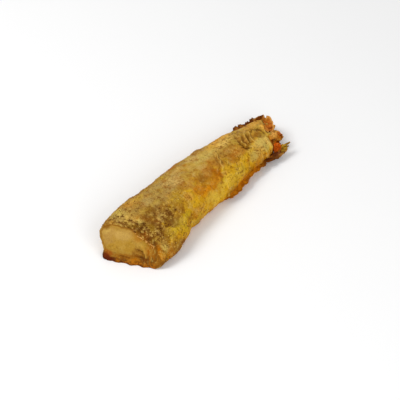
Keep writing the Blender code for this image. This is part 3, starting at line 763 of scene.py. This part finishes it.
def fried_skin():
    material, tree, place = new_material("fried_skin", 0.42, 0.0)
    x, y, z = put(tree, "SeparateXYZ", {"Vector": place}).outputs
    # Golden on the belly side and tan on the back, with a wandering border between.
    border = maths(tree, "MULTIPLY_ADD", mottle(tree, place, 34.0), -0.040, y)
    colour = coated(tree, GOLD, (border, -0.038, -0.006, 1.0, TAN))
    # Painted shade: the back's far edge darkens over the head half, where it turns away from the
    # light.
    edge = fade(tree, y, 0.022, 0.036, 0.0, 0.55)
    edge = maths(tree, "MULTIPLY", edge, fade(tree, x, -0.010, 0.030, 1.0, 0.0))
    colour = blend(tree, edge, colour, tint(128, 94, 36))
    # The lower edge is darker, brown at the head and orange farther back: partly fried colour and
    # partly painted shade where the body turns under to the floor.
    blotch = mottle(tree, place, 105.0, 4.0, 0.62, 2.6)
    low = maths(tree, "MULTIPLY_ADD", blotch, 0.014, z)
    low = maths(tree, "SUBTRACT", low, fade(tree, x, 0.005, 0.030, 0.0, 0.007))
    low_colour = coated(tree, LOW_BROWN, (x, -0.100, -0.040, 1.0, LOW_ORANGE))
    colour = coated(
        tree, colour, (low, 0.020, 0.011, 0.85, low_colour), (low, 0.008, 0.002, 0.75, RED_BROWN)
    )
    clouds_far = fade(tree, x, -0.070, -0.030, 0.50, 1.0)
    colour = clouded(tree, place, colour, clouds_far, 5.0)
    colour = patched(tree, place, colour, SKIN_PATCHES)
    colour = clouded(tree, place, colour, 0.42, 12.0)
    # Light and dark mottling from centimetre clouds down to grains, strongest where specks crowd.
    crowded = fade(tree, x, -0.070, -0.020, 0.34, 0.06)
    crowded = maths(tree, "MAXIMUM", crowded, fade(tree, x, -0.005, 0.040, 0.0, 0.27))
    for strength, *patch in SPECKLED:
        mask = patch_mask(tree, place, *patch)
        crowded = maths(tree, "MAXIMUM", crowded, maths(tree, "MULTIPLY", mask, strength))
    speck = mottle(tree, place, 235.0, 3.0, 0.52, 7.0)
    fine = mottle(tree, place, 650.0, 2.0, 0.50, 3.0)
    grain = mottle(tree, place, 1100.0, 2.0, 0.50, 6.0)
    coarse = fade(tree, crowded, 0.0, 1.0, 0.66, 2.3)
    slight = fade(tree, crowded, 0.0, 1.0, 0.66, 1.6)
    burnt = fade(tree, crowded, 0.0, 1.0, 0.15, 0.75)
    tone = weighed(tree, ((blotch, 0.9), (speck, coarse), (fine, slight), (grain, 0.60)))
    brown = coated(tree, tint(150, 94, 18), (crowded, 0.10, 0.45, 1.0, BROWN))
    # Painted shade darkens the folds' valleys, to near-black where deepest, and painted highlight
    # makes their crests paler.
    fold = fade(tree, x, 0.1165, 0.1195, 1.0, 0.0)
    fold = maths(tree, "MULTIPLY", mark(tree, "fold"), fold)
    colour = coated(
        tree, colour,
        (tone, 0.52, 0.22, 0.80, brown),
        (tone, 0.30, 0.06, burnt, SCORCHED_AND_SHADE),
        (tone, 0.56, 1.00, 0.45, FLOUR_AND_HIGHLIGHT),
        (fold, -0.0004, -0.0028, 0.50, BROWN),
        (fold, -0.0028, -0.0052, 0.42, SCORCHED_AND_SHADE),
        (fold, 0.0002, 0.0012, 0.45, FLOUR_AND_HIGHLIGHT),
    )
    crisp = coated(tree, tint(142, 70, 8), (blotch, 0.35, 0.65, 1.0, tint(206, 132, 26)))
    colour = blend(tree, mark(tree, "bare"), colour, crisp)
    colour = patched(tree, place, colour, CORNER_CHAR)
    grains = grouped(tree, CRUST_GRAIN, {"Vector": place, "Cells": 620.0})
    height = weighed(tree, ((speck, 1.8), (fine, 1.2), (grains["Height"], 0.5)))
    return finished(material, colour, height, 0.0008, 0.9, (speck, 0.34, 0.58))


skin = new_piece("hake_skin", tube_of_skin(), fried_skin())
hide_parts("headless_hake")

# ------------------------------
# The flesh of the two ends. At the head it is a clean cut across the fish, domed and fried pale
# gold, with the belly cavity's dent below. At the tail it is torn and crisped. Each is a plug set
# a little inside the skin, as the real flesh is.

FLESH_CELLS = 150
FLESH_SKIRT = 0.0070
FLESH_REACH = 0.984
FIBRE_HEIGHT = 0.00022
FIBRE_SCALE = Vector((300, 640, 300))


def double_sheet(cells_u, cells_v):
    """A closed two-sided sheet: x and y run over -0.5 to 0.5, and z is 0 or 1 for its side."""
    shape = bmesh.new()
    bmesh.ops.create_grid(shape, x_segments=cells_u, y_segments=cells_v, size=0.5)
    made = bmesh.ops.extrude_face_region(shape, geom=shape.faces[:], use_keep_orig=True)
    copied = [item for item in made["geom"] if isinstance(item, bmesh.types.BMVert)]
    bmesh.ops.translate(shape, verts=copied, vec=(0, 0, 1))
    return shape


def disc_place(u, v):
    """(turn, reach) in a round disc of the point at u and v of -1 to 1 in a square."""
    x = u * math.sqrt(1 - v * v / 2)
    y = v * math.sqrt(1 - u * u / 2)
    return (math.atan2(y, x) / math.tau * 4) % 4, min(math.hypot(x, y), 1.0)


def flesh_plug(station, inward, grain):
    shape = double_sheet(FLESH_CELLS, FLESH_CELLS)
    reach_layer, fold_layer = layers(shape, "reach", "fold")
    for vert in shape.verts:
        turn, reach = disc_place(2 * vert.co.x, 2 * vert.co.y)
        side = vert.co.z
        point = fish_point(station, turn, reach * FLESH_REACH)[0]
        fibres = noise.noise(Vector((a * b for a, b in zip(point, FIBRE_SCALE))))
        point.x += inward * (FLESH_SKIRT * side + grain * FIBRE_HEIGHT * fibres * (1 - side))
        vert.co = point
        vert[reach_layer] = reach
        vert[fold_layer] = line_relief(point.yz, CUT_FOLDS)
    return shape


# Patches of the cut face, as on the skin.
CUT_PATCHES = (
    ((-128, 20, 30), (20, 10, 14), tint(190, 148, 80), 0.6, 1),
    ((-114, -12, 35), (16, 12, 8), tint(178, 112, 26), 0.75, 1.1),
    ((-132, 25, 36), (8, 7, 6), tint(212, 174, 88), 0.8, 1),
    ((-126, -5, 18), (10, 7, 5), tint(176, 128, 34), 0.6, 1.3),
    ((-110, -30, 18), (14, 13, 16), tint(164, 94, 6), 0.92, 0.8),
    ((-122, 4, 34), (16, 12, 10), tint(208, 168, 92), 0.6, 0.9),
    ((-121, -14, 14), (14, 8, 9), tint(140, 84, 16), 0.7, 1.3),
    ((-128, -2, 8), (20, 18, 5), tint(160, 100, 20), 0.8, 1.4),
    ((-125, -12, 4), (12, 8, 4), tint(186, 112, 12), 0.85, 1),
    ((-117, -24, 6), (14, 11, 8), tint(100, 50, 6), 0.95, 1.1),
    ((-134, 3, 2), (14, 16, 5), tint(112, 60, 12), 0.85, 1.8),
    ((-137, 8, 2), (14, 14, 4), tint(72, 22, 2), 0.95, 1.6),
    ((-138, 16, 10), (8, 7, 6), tint(160, 76, 8), 0.8),
    ((-130, 24.5, 41), (5, 5, 6), BROWN, 0.9, 1),
)
# The charred lower back corner, over everything else.
CUT_CORNER = (
    ((-141, 18, 3), (10, 9, 8), tint(104, 34, 8), 0.9),
    ((-140, 12.5, 1), (12, 8, 5), tint(92, 34, 10), 0.9, 1.3),
)


def cut_flesh():
    material, tree, place = new_material("cut_flesh", 0.48, 0.0)
    _, y, z = put(tree, "SeparateXYZ", {"Vector": place}).outputs
    clouds = mottle(tree, place, 70.0)
    small = mottle(tree, place, 320.0, offset=4.0)
    low = maths(tree, "MULTIPLY_ADD", small, 0.008, z)
    colour = coated(
        tree, tint(190, 148, 62),
        (clouds, 0.35, 0.68, 1.0, tint(176, 132, 40)),
        (small, 0.50, 0.72, 0.38, BROWN),
        (low, 0.022, 0.010, 0.75, tint(150, 94, 16)),
    )
    colour = patched(tree, place, colour, CUT_PATCHES)
    fibres = mottle(tree, place, 760.0, 2.0, 0.50, 9.0)
    colour = coated(
        tree, colour, (fibres, 0.50, 0.30, 0.24, UMBER), (fibres, 0.52, 0.72, 0.24, PALE_GREEN)
    )
    # The belly wall is streaked up and down.
    stretched = put(tree, "VectorMath", {0: place, 1: (500.0, 500.0, 70.0)}, operation="MULTIPLY")
    streaks = put(tree, "TexNoise", {"Vector": stretched.outputs[0], "Scale": 1.0, "Detail": 3.0})
    flap = fade(tree, y, -0.0195, -0.0240)
    for none, full, most, shade in ((0.50, 0.66, 0.85, RUST), (0.46, 0.34, 0.60, PALE_GREEN)):
        streak = fade(tree, streaks.outputs["Fac"], none, full, 0.0, most)
        colour = blend(tree, maths(tree, "MULTIPLY", streak, flap), colour, shade)
    # Painted shade in the folds' valleys and painted highlight on their crests, then a crisp rim: a
    # golden line above, an orange one of beads at the belly side, and dark below.
    fold = mark(tree, "fold")
    rim = maths(tree, "MULTIPLY_ADD", small, 0.10, mark(tree, "reach"))
    edge = fade(tree, rim, 0.95, 1.03, 0.0, 0.80)
    colour = coated(
        tree, colour,
        (fold, -0.0002, -0.0018, 0.60, tint(120, 64, 10)),
        (fold, 0.0003, 0.0015, 0.40, tint(206, 152, 60)),
        (rim, 0.72, 1.00, 0.45, tint(164, 116, 34)),
    )
    colour = blend(tree, edge, colour, tint(138, 84, 16))
    beads = fade(tree, mottle(tree, place, 560.0, 2.0, 0.5, 8.0), 0.50, 0.60)
    upper = fade(tree, z, 0.021, 0.026)
    belly_side = maths(tree, "MULTIPLY", fade(tree, y, 0.0, -0.010), upper)
    beaded = maths(tree, "MULTIPLY", maths(tree, "MULTIPLY", beads, belly_side), edge)
    colour = blend(tree, beaded, colour, tint(234, 176, 96))
    charred = mottle(tree, place, 330.0, 3.0, 0.6, 6.0)
    charred = coated(tree, tint(88, 30, 2), (charred, 0.42, 0.62, 1.0, tint(186, 106, 12)))
    colour = coated(tree, colour, (low, 0.0110, 0.0045, 0.75, charred))
    colour = patched(tree, place, colour, CUT_CORNER)
    height = weighed(tree, ((small, 1.8), (mottle(tree, place, 800.0, offset=1.0), 0.9)))
    return finished(material, colour, height, 0.0008, 0.8, (small, 0.38, 0.56))


def torn_flesh():
    material, tree, place = new_material("torn_flesh", 0.48, 0.0)
    grain = grouped(tree, CRUST_GRAIN, {"Vector": place, "Cells": 520.0})
    clouds = mottle(tree, place, 160.0)
    colour = coated(tree, tint(132, 62, 18), (clouds, 0.38, 0.62, 1.0, tint(190, 118, 34)))
    colour = blend(tree, grain["Dark Dots"], colour, SCORCHED_AND_SHADE)
    return finished(material, colour, grain["Height"], 0.0006, 0.6)


head_flesh = new_piece("head_cut_flesh", flesh_plug(0.0, 1, 1.0), cut_flesh())
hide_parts("headless_hake")
tail_flesh = new_piece("tail_torn_flesh", flesh_plug(1.0, -1, 4.0), torn_flesh())
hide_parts("headless_hake")

# ------------------------------
# The crisped fins. What is left of the back fin and the belly fin lies along the edges of the rear
# half: thin ragged strips of fin rays and skin, fried dark and brittle.

FIN_ROOT = 0.0030
FIN_THICKNESS = 0.0022
FIN_WAVE = 0.0016
FIN_CELLS = (220, 12)
# Each fin: the stations and turns of its two ends, its outward direction and how far that rises
# from end to end, its reach, the shares of it that come and go in long and in short waves, a seed
# and its count of rays. The back fin edges the last fifth, and the belly fin the last two fifths.
BACK_FIN = ((0.800, 0.995), (0.12, 0.12), (0.10, 0.96, 0.20), 0.0, 0.0110, (0.40, 0.16), 1.3, 46)
BELLY_FIN = ((0.56, 1.00), (2.16, 2.06), (0.12, -0.96, -0.12), 0.25, 0.0115, (0.28, 0.07), 5.2, 90)


def between(ends, u):
    """The value at share u of the way from the first end to the second."""
    return ends[0] + (ends[1] - ends[0]) * u


def fin_strip(stations, turns, way, rise, reach, rags, seed, rays):
    """A thin strip with raised rays and a frayed edge, its root just inside the skin."""
    shape = double_sheet(*FIN_CELLS)
    [out_layer] = layers(shape, "outward")
    inward = Vector((0, -math.copysign(FIN_ROOT, way[1]), 0))
    for vert in shape.verts:
        u, v, side = vert.co.x + 0.5, vert.co.y + 0.5, vert.co.z
        root = fish_point(between(stations, u), between(turns, u), 1.0)[0] + inward
        outward = Vector((way[0], way[1], way[2] + rise * u))
        ragged = 0.80 + rags[0] * wavy(u * 11, seed, 0)
        ragged += rags[1] * wavy(u * 30, seed, 4)
        frayed = 0.02 * wavy(u * 150, seed, 7)
        fade_out = min(1.0, 0.10 + 5 * u, 0.35 + 7 * (1 - u))
        wave = FIN_WAVE * wavy(u * 14, seed, 9) * v
        wave += 0.0006 * wavy(u * 60, v * 3, seed) * v
        ray = 0.00025 * math.sin(math.tau * u * rays) * v
        thick = FIN_THICKNESS * (1 - 0.65 * v)
        lift = wave + ray + thick * (0.5 - side)
        far = reach * v * (max(ragged, 0.2) + frayed * v) * fade_out
        vert.co = root + outward * far + Vector((0, 0, lift))
        vert[out_layer] = v
    return shape


def crisped(name, dark, mid_tone, light, edge, rim, rows=(), over_rim=()):
    """Brittle fried fin or flake with painted shade in its creases, its rim of another colour, and
    patches.
    """
    material, tree, place = new_material(name, 0.46, 0.0)
    grain = grouped(tree, CRUST_GRAIN, {"Vector": place, "Cells": 700.0})
    clouds = mottle(tree, place, 190.0)
    small = mottle(tree, place, 560.0, offset=3.0)
    outward = maths(tree, "MULTIPLY_ADD", small, 0.5, mark(tree, "outward"))
    colour = coated(
        tree, dark, (clouds, 0.36, 0.60, 1.0, mid_tone), (small, 0.55, 0.75, 0.8, light)
    )
    colour = patched(tree, place, colour, rows)
    # Painted shade: the crinkles' creases darken to red-brown.
    colour = coated(
        tree, colour,
        (mark(tree, "crease"), 0.10, 0.70, 0.85, RED_BROWN), (outward, 0.80, 1.20, edge, rim),
    )
    colour = patched(tree, place, colour, over_rim)
    height = maths(tree, "MULTIPLY_ADD", grain["Height"], 0.5, small)
    return finished(material, colour, height, 0.0005, 0.7, (small, 0.32, 0.55))


BACK_FIN_SCORCH = (
    ((122, 34, 18), (11, 12, 12), tint(84, 34, 8), 0.8, 1),
    ((136, 26, 18), (7, 12, 12), tint(190, 146, 84), 0.7, 1),
)
BELLY_FIN_SCORCH = (
    ((108, -31, 10), (32, 18, 16), tint(62, 20, 12), 0.96, 0.8),
)
BACK_FIN_FRY = crisped(
    "crisped_back_fin", tint(104, 52, 10), tint(164, 100, 30), tint(222, 166, 96),
    0.6, tint(84, 42, 10), BACK_FIN_SCORCH,
)
BELLY_FIN_FRY = crisped(
    "crisped_belly_fin", tint(156, 86, 8), tint(210, 130, 16), tint(222, 156, 50),
    0.5, tint(136, 74, 10), BELLY_FIN_SCORCH,
)
back_fin = new_piece("back_fin_crisp", fin_strip(*BACK_FIN), BACK_FIN_FRY)
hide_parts("headless_hake")
belly_fin = new_piece("belly_fin_crisp", fin_strip(*BELLY_FIN), BELLY_FIN_FRY)
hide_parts("headless_hake")

# ------------------------------
# The torn tail end. Where the tail fin broke off, crisp flakes of skin and flesh stand out, orange
# to red-brown, with one bright lump and burnt splinters at the lower corner.

# The skin's far end curled into a gutter: its upper and lower end, and its sizes across.
GUTTER_ENDS = (Vector((0.1385, 0.0165, 0.0240)), Vector((0.1208, -0.0042, 0.0236)))
GUTTER_ACROSS = Vector((0.74, -0.67, 0.0))
GUTTER_HALF_WIDTH = 0.0052
GUTTER_DEPTH = 0.0042
GUTTER_THICKNESS = 0.0012
GUTTER_CELLS = (120, 60)

# Middle and size along, across and through in millimetres, turn about X, Y and Z, and curl.
TAIL_FLAKES = (
    ((132, 18, 17.5), (15, 9.2, 4.2), (0.3, -0.15, -0.3), 0.10),
    ((132.5, 10.5, 17.2), (16, 9.8, 4.2), (0.2, -0.10, 0.1), 0.10),
    ((128.5, 3, 17), (16.5, 10.8, 4.5), (-0.2, 0.05, -0.1), 0.10),
    ((126.8, -7.5, 16.5), (16.5, 12.5, 6.2), (0.1, 0.12, 0.3), -0.04),
    ((127.8, -12.5, 15), (11.8, 9.6, 5.5), (0.3, 0.02, 0.5), 0.05),
    ((121.5, -8, 19), (14, 10.5, 4.8), (-0.1, 0.20, 0.2), 0.05),
    ((120, -15, 12.2), (11, 9, 6), (0.2, 0.10, 0.4), 0.03),
    ((117.2, -15, 8.5), (14.5, 12, 7), (0.2, 0.10, 0.0), 0.05),
    ((108, -25.5, 7.5), (28, 8.5, 5.5), (-0.2, -0.05, -0.15), 0.03),
    ((124.5, 4, 8.5), (23, 23, 10), (0.0, 0.10, 0.2), -0.05),
    ((133, 22.2, 20), (16, 6.2, 3.6), (0.4, -0.10, -0.2), 0.05),
)
RED_LUMP = (((114, -21.2, 12.2), (11.4, 9.6, 10), (0.0, 0.20, 0.4), 0.02),)
FLAKE_CELLS = 60
CREASE_DEPTH = 0.14
CREASED_THICKNESS = 0.0045
# Burnt splinters: the start and end of each, and its root's radius.
SPLINTERS = (
    (Vector((0.1110, -0.0230, 0.0112)), Vector((0.1308, -0.0268, 0.0138)), 0.0036),
    (Vector((0.1140, -0.0268, 0.0098)), Vector((0.1262, -0.0284, 0.0122)), 0.0026),
)
SPLINTER_TIP = 0.0008
SPLINTER_SIDES = 28
SPLINTER_RINGS = 60
SPLINTER_KINK = 0.0012


def add_shape(joined, shape):
    """Moves a closed shape into joined."""
    bmesh.ops.recalc_face_normals(shape, faces=shape.faces)
    part = mesh_of("part", shape)
    joined.from_mesh(part)
    bpy.data.meshes.remove(part)


def crisp_flakes(rows):
    """Flattened crinkled flakes with ragged rims, one closed sheet for each row."""
    joined = bmesh.new()
    layers(joined, "outward", "crease")
    for seed, (middle, size, turn, curl) in enumerate(rows):
        flake = double_sheet(FLAKE_CELLS, FLAKE_CELLS)
        place = Matrix.LocRotScale(Vector(middle) / 1000, Euler(turn, "XYZ"), None)
        size = [length / 1000 for length in size]
        out_layer, crease_layer = layers(flake, "outward", "crease")
        for vert in flake.verts:
            angle, reach = disc_place(2 * vert.co.x, 2 * vert.co.y)
            side = 0.5 - vert.co.z
            way = angle * math.pi / 2
            across = Vector((math.cos(way), math.sin(way), 0)) * reach / 2
            rough = 1 + 0.30 * noise.noise(across * 4 + Vector((seed, 0, 0)))
            rough += 0.14 * noise.noise(across * 11 + Vector((seed, 2, 0))) * reach
            thick = side * max(1 - reach ** 2, 0.0) ** 0.35
            crinkle = 0.60 * abs(noise.noise(across * 6 + Vector((0, seed, 0)))) - CREASE_DEPTH
            crinkle += 0.30 * abs(noise.noise(across * 15 + Vector((0, seed, 5))))
            standing = thick * size[2] + crinkle * min(size[2], CREASED_THICKNESS)
            local = Vector((across.x * size[0], across.y * size[1], standing)) * rough
            local.z += curl * (across.x * 2) ** 2 * size[0]
            vert.co = place @ local
            vert[out_layer] = reach
            vert[crease_layer] = max(-crinkle / CREASE_DEPTH, 0.0)
        add_shape(joined, flake)
    return joined


def curled_gutter():
    """The curled end of the skin: two ragged lips with a hollow between them."""
    shape = double_sheet(*GUTTER_CELLS)
    [out_layer] = layers(shape, "outward")
    first, last = GUTTER_ENDS
    for vert in shape.verts:
        u, v, side = vert.co.x + 0.5, 2 * vert.co.y, vert.co.z
        boat = (1 - abs(2 * u - 1) ** 5) ** 0.5
        ragged = 1 + 0.30 * wavy(u * 5, math.copysign(3, v), 0)
        ragged += 0.12 * wavy(u * 22, math.copysign(3, v), 4)
        across = GUTTER_HALF_WIDTH * v * ragged * (0.25 + 0.75 * boat)
        rise = GUTTER_DEPTH * (abs(v) ** 2.4 - 0.75)
        rise += 0.0012 * wavy(u * 9, v * 2, 1) + 0.0006 * wavy(u * 30, v * 9, 1)
        bow = 0.0016 * math.sin(math.pi * u)
        point = first.lerp(last, u) + GUTTER_ACROSS * (across + bow)
        vert.co = point + Vector((0, 0, rise - GUTTER_THICKNESS * side))
        vert[out_layer] = max(v, abs(2 * u - 1) ** 3)
    return shape


def burnt_splinters():
    """Thin burnt splinters of the tail's lower corner, pointing back."""
    joined = bmesh.new()
    for start, end, root in SPLINTERS:
        shape = ringed_cylinder(SPLINTER_SIDES, SPLINTER_RINGS, root, SPLINTER_TIP)
        [out_layer] = layers(shape, "outward")
        reach = end - start
        turned = reach.to_track_quat("Z", "Y")
        for vert in shape.verts:
            u = vert.co.z + 0.5
            kink = SPLINTER_KINK * wavy(u * 5, 7.0, 2.0 + root)
            around = Vector((vert.co.x, vert.co.y, 0))
            rough = 1 + 0.5 * wavy(around.x * 900, around.y * 900, u * 9)
            vert.co = start + reach * u + turned @ around * rough + Vector((0, kink, 0.8 * kink))
            vert[out_layer] = u
        add_shape(joined, shape)
    return joined


# Patches of the flakes and the strip under them: browns, reds and pale tans, and the two near-black
# ones at the flake mass's low front corner, 123 and 127 mm along, are painted shadow under it.
FLAKE_HUES_AND_SHADOW = (
    ((123, -19, 12), (10, 6, 8), tint(84, 20, 4), 0.9, 0.9, 20),
    ((117, -14, 9), (10, 10, 6), tint(120, 52, 8), 0.8, 1),
    ((129, -10, 17), (6, 4, 8), tint(196, 92, 16), 0.75, 1.2, 20),
    ((127, -14, 12), (9, 6, 5.5), tint(92, 34, 4), 0.95, 0.8),
    ((125, -2, 17), (4, 4, 5), tint(110, 44, 6), 0.85, 1),
    ((121, -6, 20), (9, 9, 9), tint(232, 180, 90), 0.85, 0.8),
    ((131, -3, 18), (7, 6, 9), tint(238, 186, 84), 0.8, 1),
    ((132, 23, 20), (12, 6, 6), tint(104, 48, 10), 0.85),
    ((112, -30, 7), (30, 10, 9), tint(66, 24, 16), 0.95, 0.8, -8),
    ((109, -26, 9), (4, 5, 6), tint(158, 92, 70), 0.7, 1),
)
# The strip under the tail and the flakes' lower corner are scorched out to their rims.
RIM_SCORCH = (
    ((104, -26, 8), (17, 6, 7), tint(96, 48, 16), 0.88, 0.9, -8),
    ((95, -26, 8), (8, 5, 6), tint(72, 30, 14), 0.85, 0.9),
    ((129, -13.5, 14), (4.5, 4, 5), tint(118, 52, 6), 0.8, 0.9, 20),
)
SPLINTER_SCORCH = (
    ((115, -28, 7), (11, 6, 5), tint(66, 26, 14), 0.94, 0.7),
)
# Patches of the curl: the first two are painted shadow in its hollow, and the others the lips' own
# orange and tan.
CURL_SHADOW_AND_HUES = (
    ((128.5, 1, 23), (7.5, 2.4, 6), tint(118, 50, 8), 0.8, 0.8, 45),
    ((122.5, -2.5, 22), (4.5, 3.5, 5), tint(84, 28, 4), 0.9, 0.8, 30),
    ((137, 14, 24), (6, 5, 6), tint(182, 118, 36), 0.75, 1, 45),
    ((127.5, 7, 25), (8.5, 5, 7), tint(208, 124, 40), 0.8, 1, 45),
    ((122.5, 3, 25), (6, 4.5, 7), tint(222, 150, 62), 0.8, 1, 45),
)
FLAKE_FRY = crisped(
    "crisped_flake", tint(156, 74, 8), tint(204, 122, 20), tint(224, 164, 64),
    0.50, tint(222, 160, 60), FLAKE_HUES_AND_SHADOW, RIM_SCORCH,
)
LUMP_FRY = crisped(
    "crisped_lump", tint(162, 62, 4), tint(216, 100, 8), tint(240, 162, 72), 0.40, tint(148, 66, 8)
)
SPLINTER_FRY = crisped(
    "crisped_splinter", tint(134, 94, 22), tint(182, 138, 40), tint(210, 170, 72),
    0.40, tint(96, 60, 14), SPLINTER_SCORCH,
)
CURL_FRY = crisped(
    "crisped_curl", tint(156, 80, 18), tint(198, 116, 36), tint(222, 156, 76),
    0.90, tint(222, 166, 84), CURL_SHADOW_AND_HUES,
)
curl = new_piece("tail_curl", curled_gutter(), CURL_FRY)
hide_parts("headless_hake")
flakes = new_piece("tail_flakes", crisp_flakes(TAIL_FLAKES), FLAKE_FRY)
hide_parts("headless_hake")
lump = new_piece("tail_lump", crisp_flakes(RED_LUMP), LUMP_FRY)
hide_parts("headless_hake")
splinter = new_piece("tail_splinter", burnt_splinters(), SPLINTER_FRY)
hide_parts("headless_hake")

# ------------------------------
# Crumbs of the crust. Flour and skin that fried into hard grains cling to the skin, pale or
# scorched, thickest over the head end. Each is a tiny lump pressed halfway into the skin.

CRUMB_COUNT = 900
CRUMB_STATIONS = (0.008, 0.45)
CRUMB_TURNS = (0.05, 2.25)
CRUMB_SIZES = (0.00030, 0.00075)
CRUMB_STRETCH = ((0.7, 1.5), (0.7, 1.3), (0.5, 0.9))
CRUMB_SEED = 11


def crust_crumbs():
    draw = random.Random(CRUMB_SEED)
    shape = bmesh.new()
    [tone_layer] = layers(shape, "tone")
    for _ in range(CRUMB_COUNT):
        station = between(CRUMB_STATIONS, draw.random() ** 1.5)
        turn = draw.uniform(*CRUMB_TURNS)
        point = fish_point(station, turn, 1.0)[0]
        size = between(CRUMB_SIZES, draw.random() ** 2)
        made = bmesh.ops.create_icosphere(shape, subdivisions=1, radius=size)
        tone = draw.random()
        stretch = [draw.uniform(*ends) for ends in CRUMB_STRETCH]
        turned = Euler([draw.uniform(0, 6) for _ in "xyz"]).to_matrix()
        for vert in made["verts"]:
            vert.co = point + turned @ Vector((a * b for a, b in zip(vert.co, stretch)))
            vert[tone_layer] = tone
    return shape


def crumb_crust():
    material, tree, place = new_material("crust_crumb", 0.45, 0.1)
    tone = mark(tree, "tone")
    colour = coated(
        tree, SCORCHED_AND_SHADE,
        (tone, 0.10, 0.45, 1.0, tint(176, 128, 54)),
        (tone, 0.62, 0.95, 1.0, FLOUR_AND_HIGHLIGHT),
        (mottle(tree, place, 900.0), 0.4, 0.7, 0.4, BROWN),
    )
    return finished(material, colour, mottle(tree, place, 1500.0), 0.0003, 0.5)


new_piece("crust_crumbs", crust_crumbs(), crumb_crust())

# ------------------------------
# The place it stands for its picture: a plain pale floor, soft studio light and the camera, which
# looks down on the upper flank from beyond the head.

FLOOR_HALF_SIZE = 4.0
FLOOR_DROP = 0.0002  # keeps the floor from showing through the flat underside
CAMERA_AIM = Vector((-0.0012, -0.0010, 0.0))
CAMERA_DISTANCE = 2.12
CAMERA_ELEVATION = math.radians(44.2)
CAMERA_AZIMUTH = math.radians(-49.5)
CAMERA_LENS = 166.4
SENSOR_WIDTH = 36
LIGHTS = (
    ("key", (-0.70, 0.75, 1.50), 0.8, 16.7),
    ("fill", (-0.60, -1.40, 1.10), 1.2, 11.0),
)
SKY_STRENGTH = 0.50


def pale_floor():
    material, tree, place = new_material("pale_floor", 0.7, 0.0)
    clouds = mottle(tree, place, 3.0)
    return finished(material, blend(tree, clouds, (0.94, 0.94, 0.94, 1.0), (0.96, 0.96, 0.96, 1.0)))


def studio():
    shape = bmesh.new()
    bmesh.ops.create_grid(shape, x_segments=8, y_segments=8, size=FLOOR_HALF_SIZE)
    bmesh.ops.translate(shape, verts=shape.verts, vec=(0, 0, -FLOOR_DROP))
    mesh = mesh_of("floor", shape)
    mesh.materials.append(pale_floor())
    floor = placed("floor", mesh)
    for name, place, size, power in LIGHTS:
        light = bpy.data.lights.new(name, "AREA")
        light.size = size
        light.energy = power
        lamp = placed(name, light)
        lamp.location = place
        lamp.rotation_euler = (-Vector(place)).to_track_quat("-Z", "Y").to_euler()
    world = bpy.data.worlds.new("studio")
    world.use_nodes = True
    sky = world.node_tree.nodes["Background"].inputs
    sky["Color"].default_value = (1, 1, 1, 1)
    sky["Strength"].default_value = SKY_STRENGTH
    bpy.context.scene.world = world


def camera():
    lens = bpy.data.cameras.new("camera")
    lens.lens = CAMERA_LENS
    lens.sensor_width = SENSOR_WIDTH
    made = placed("camera", lens)
    level = CAMERA_DISTANCE * math.cos(CAMERA_ELEVATION)
    away = Vector((
        level * math.sin(CAMERA_AZIMUTH),
        -level * math.cos(CAMERA_AZIMUTH),
        CAMERA_DISTANCE * math.sin(CAMERA_ELEVATION),
    ))
    made.location = CAMERA_AIM + away
    made.rotation_euler = (-away).to_track_quat("-Z", "Y").to_euler()
    bpy.context.scene.camera = made


studio()
camera()
bpy.context.scene.view_settings.view_transform = "Standard"
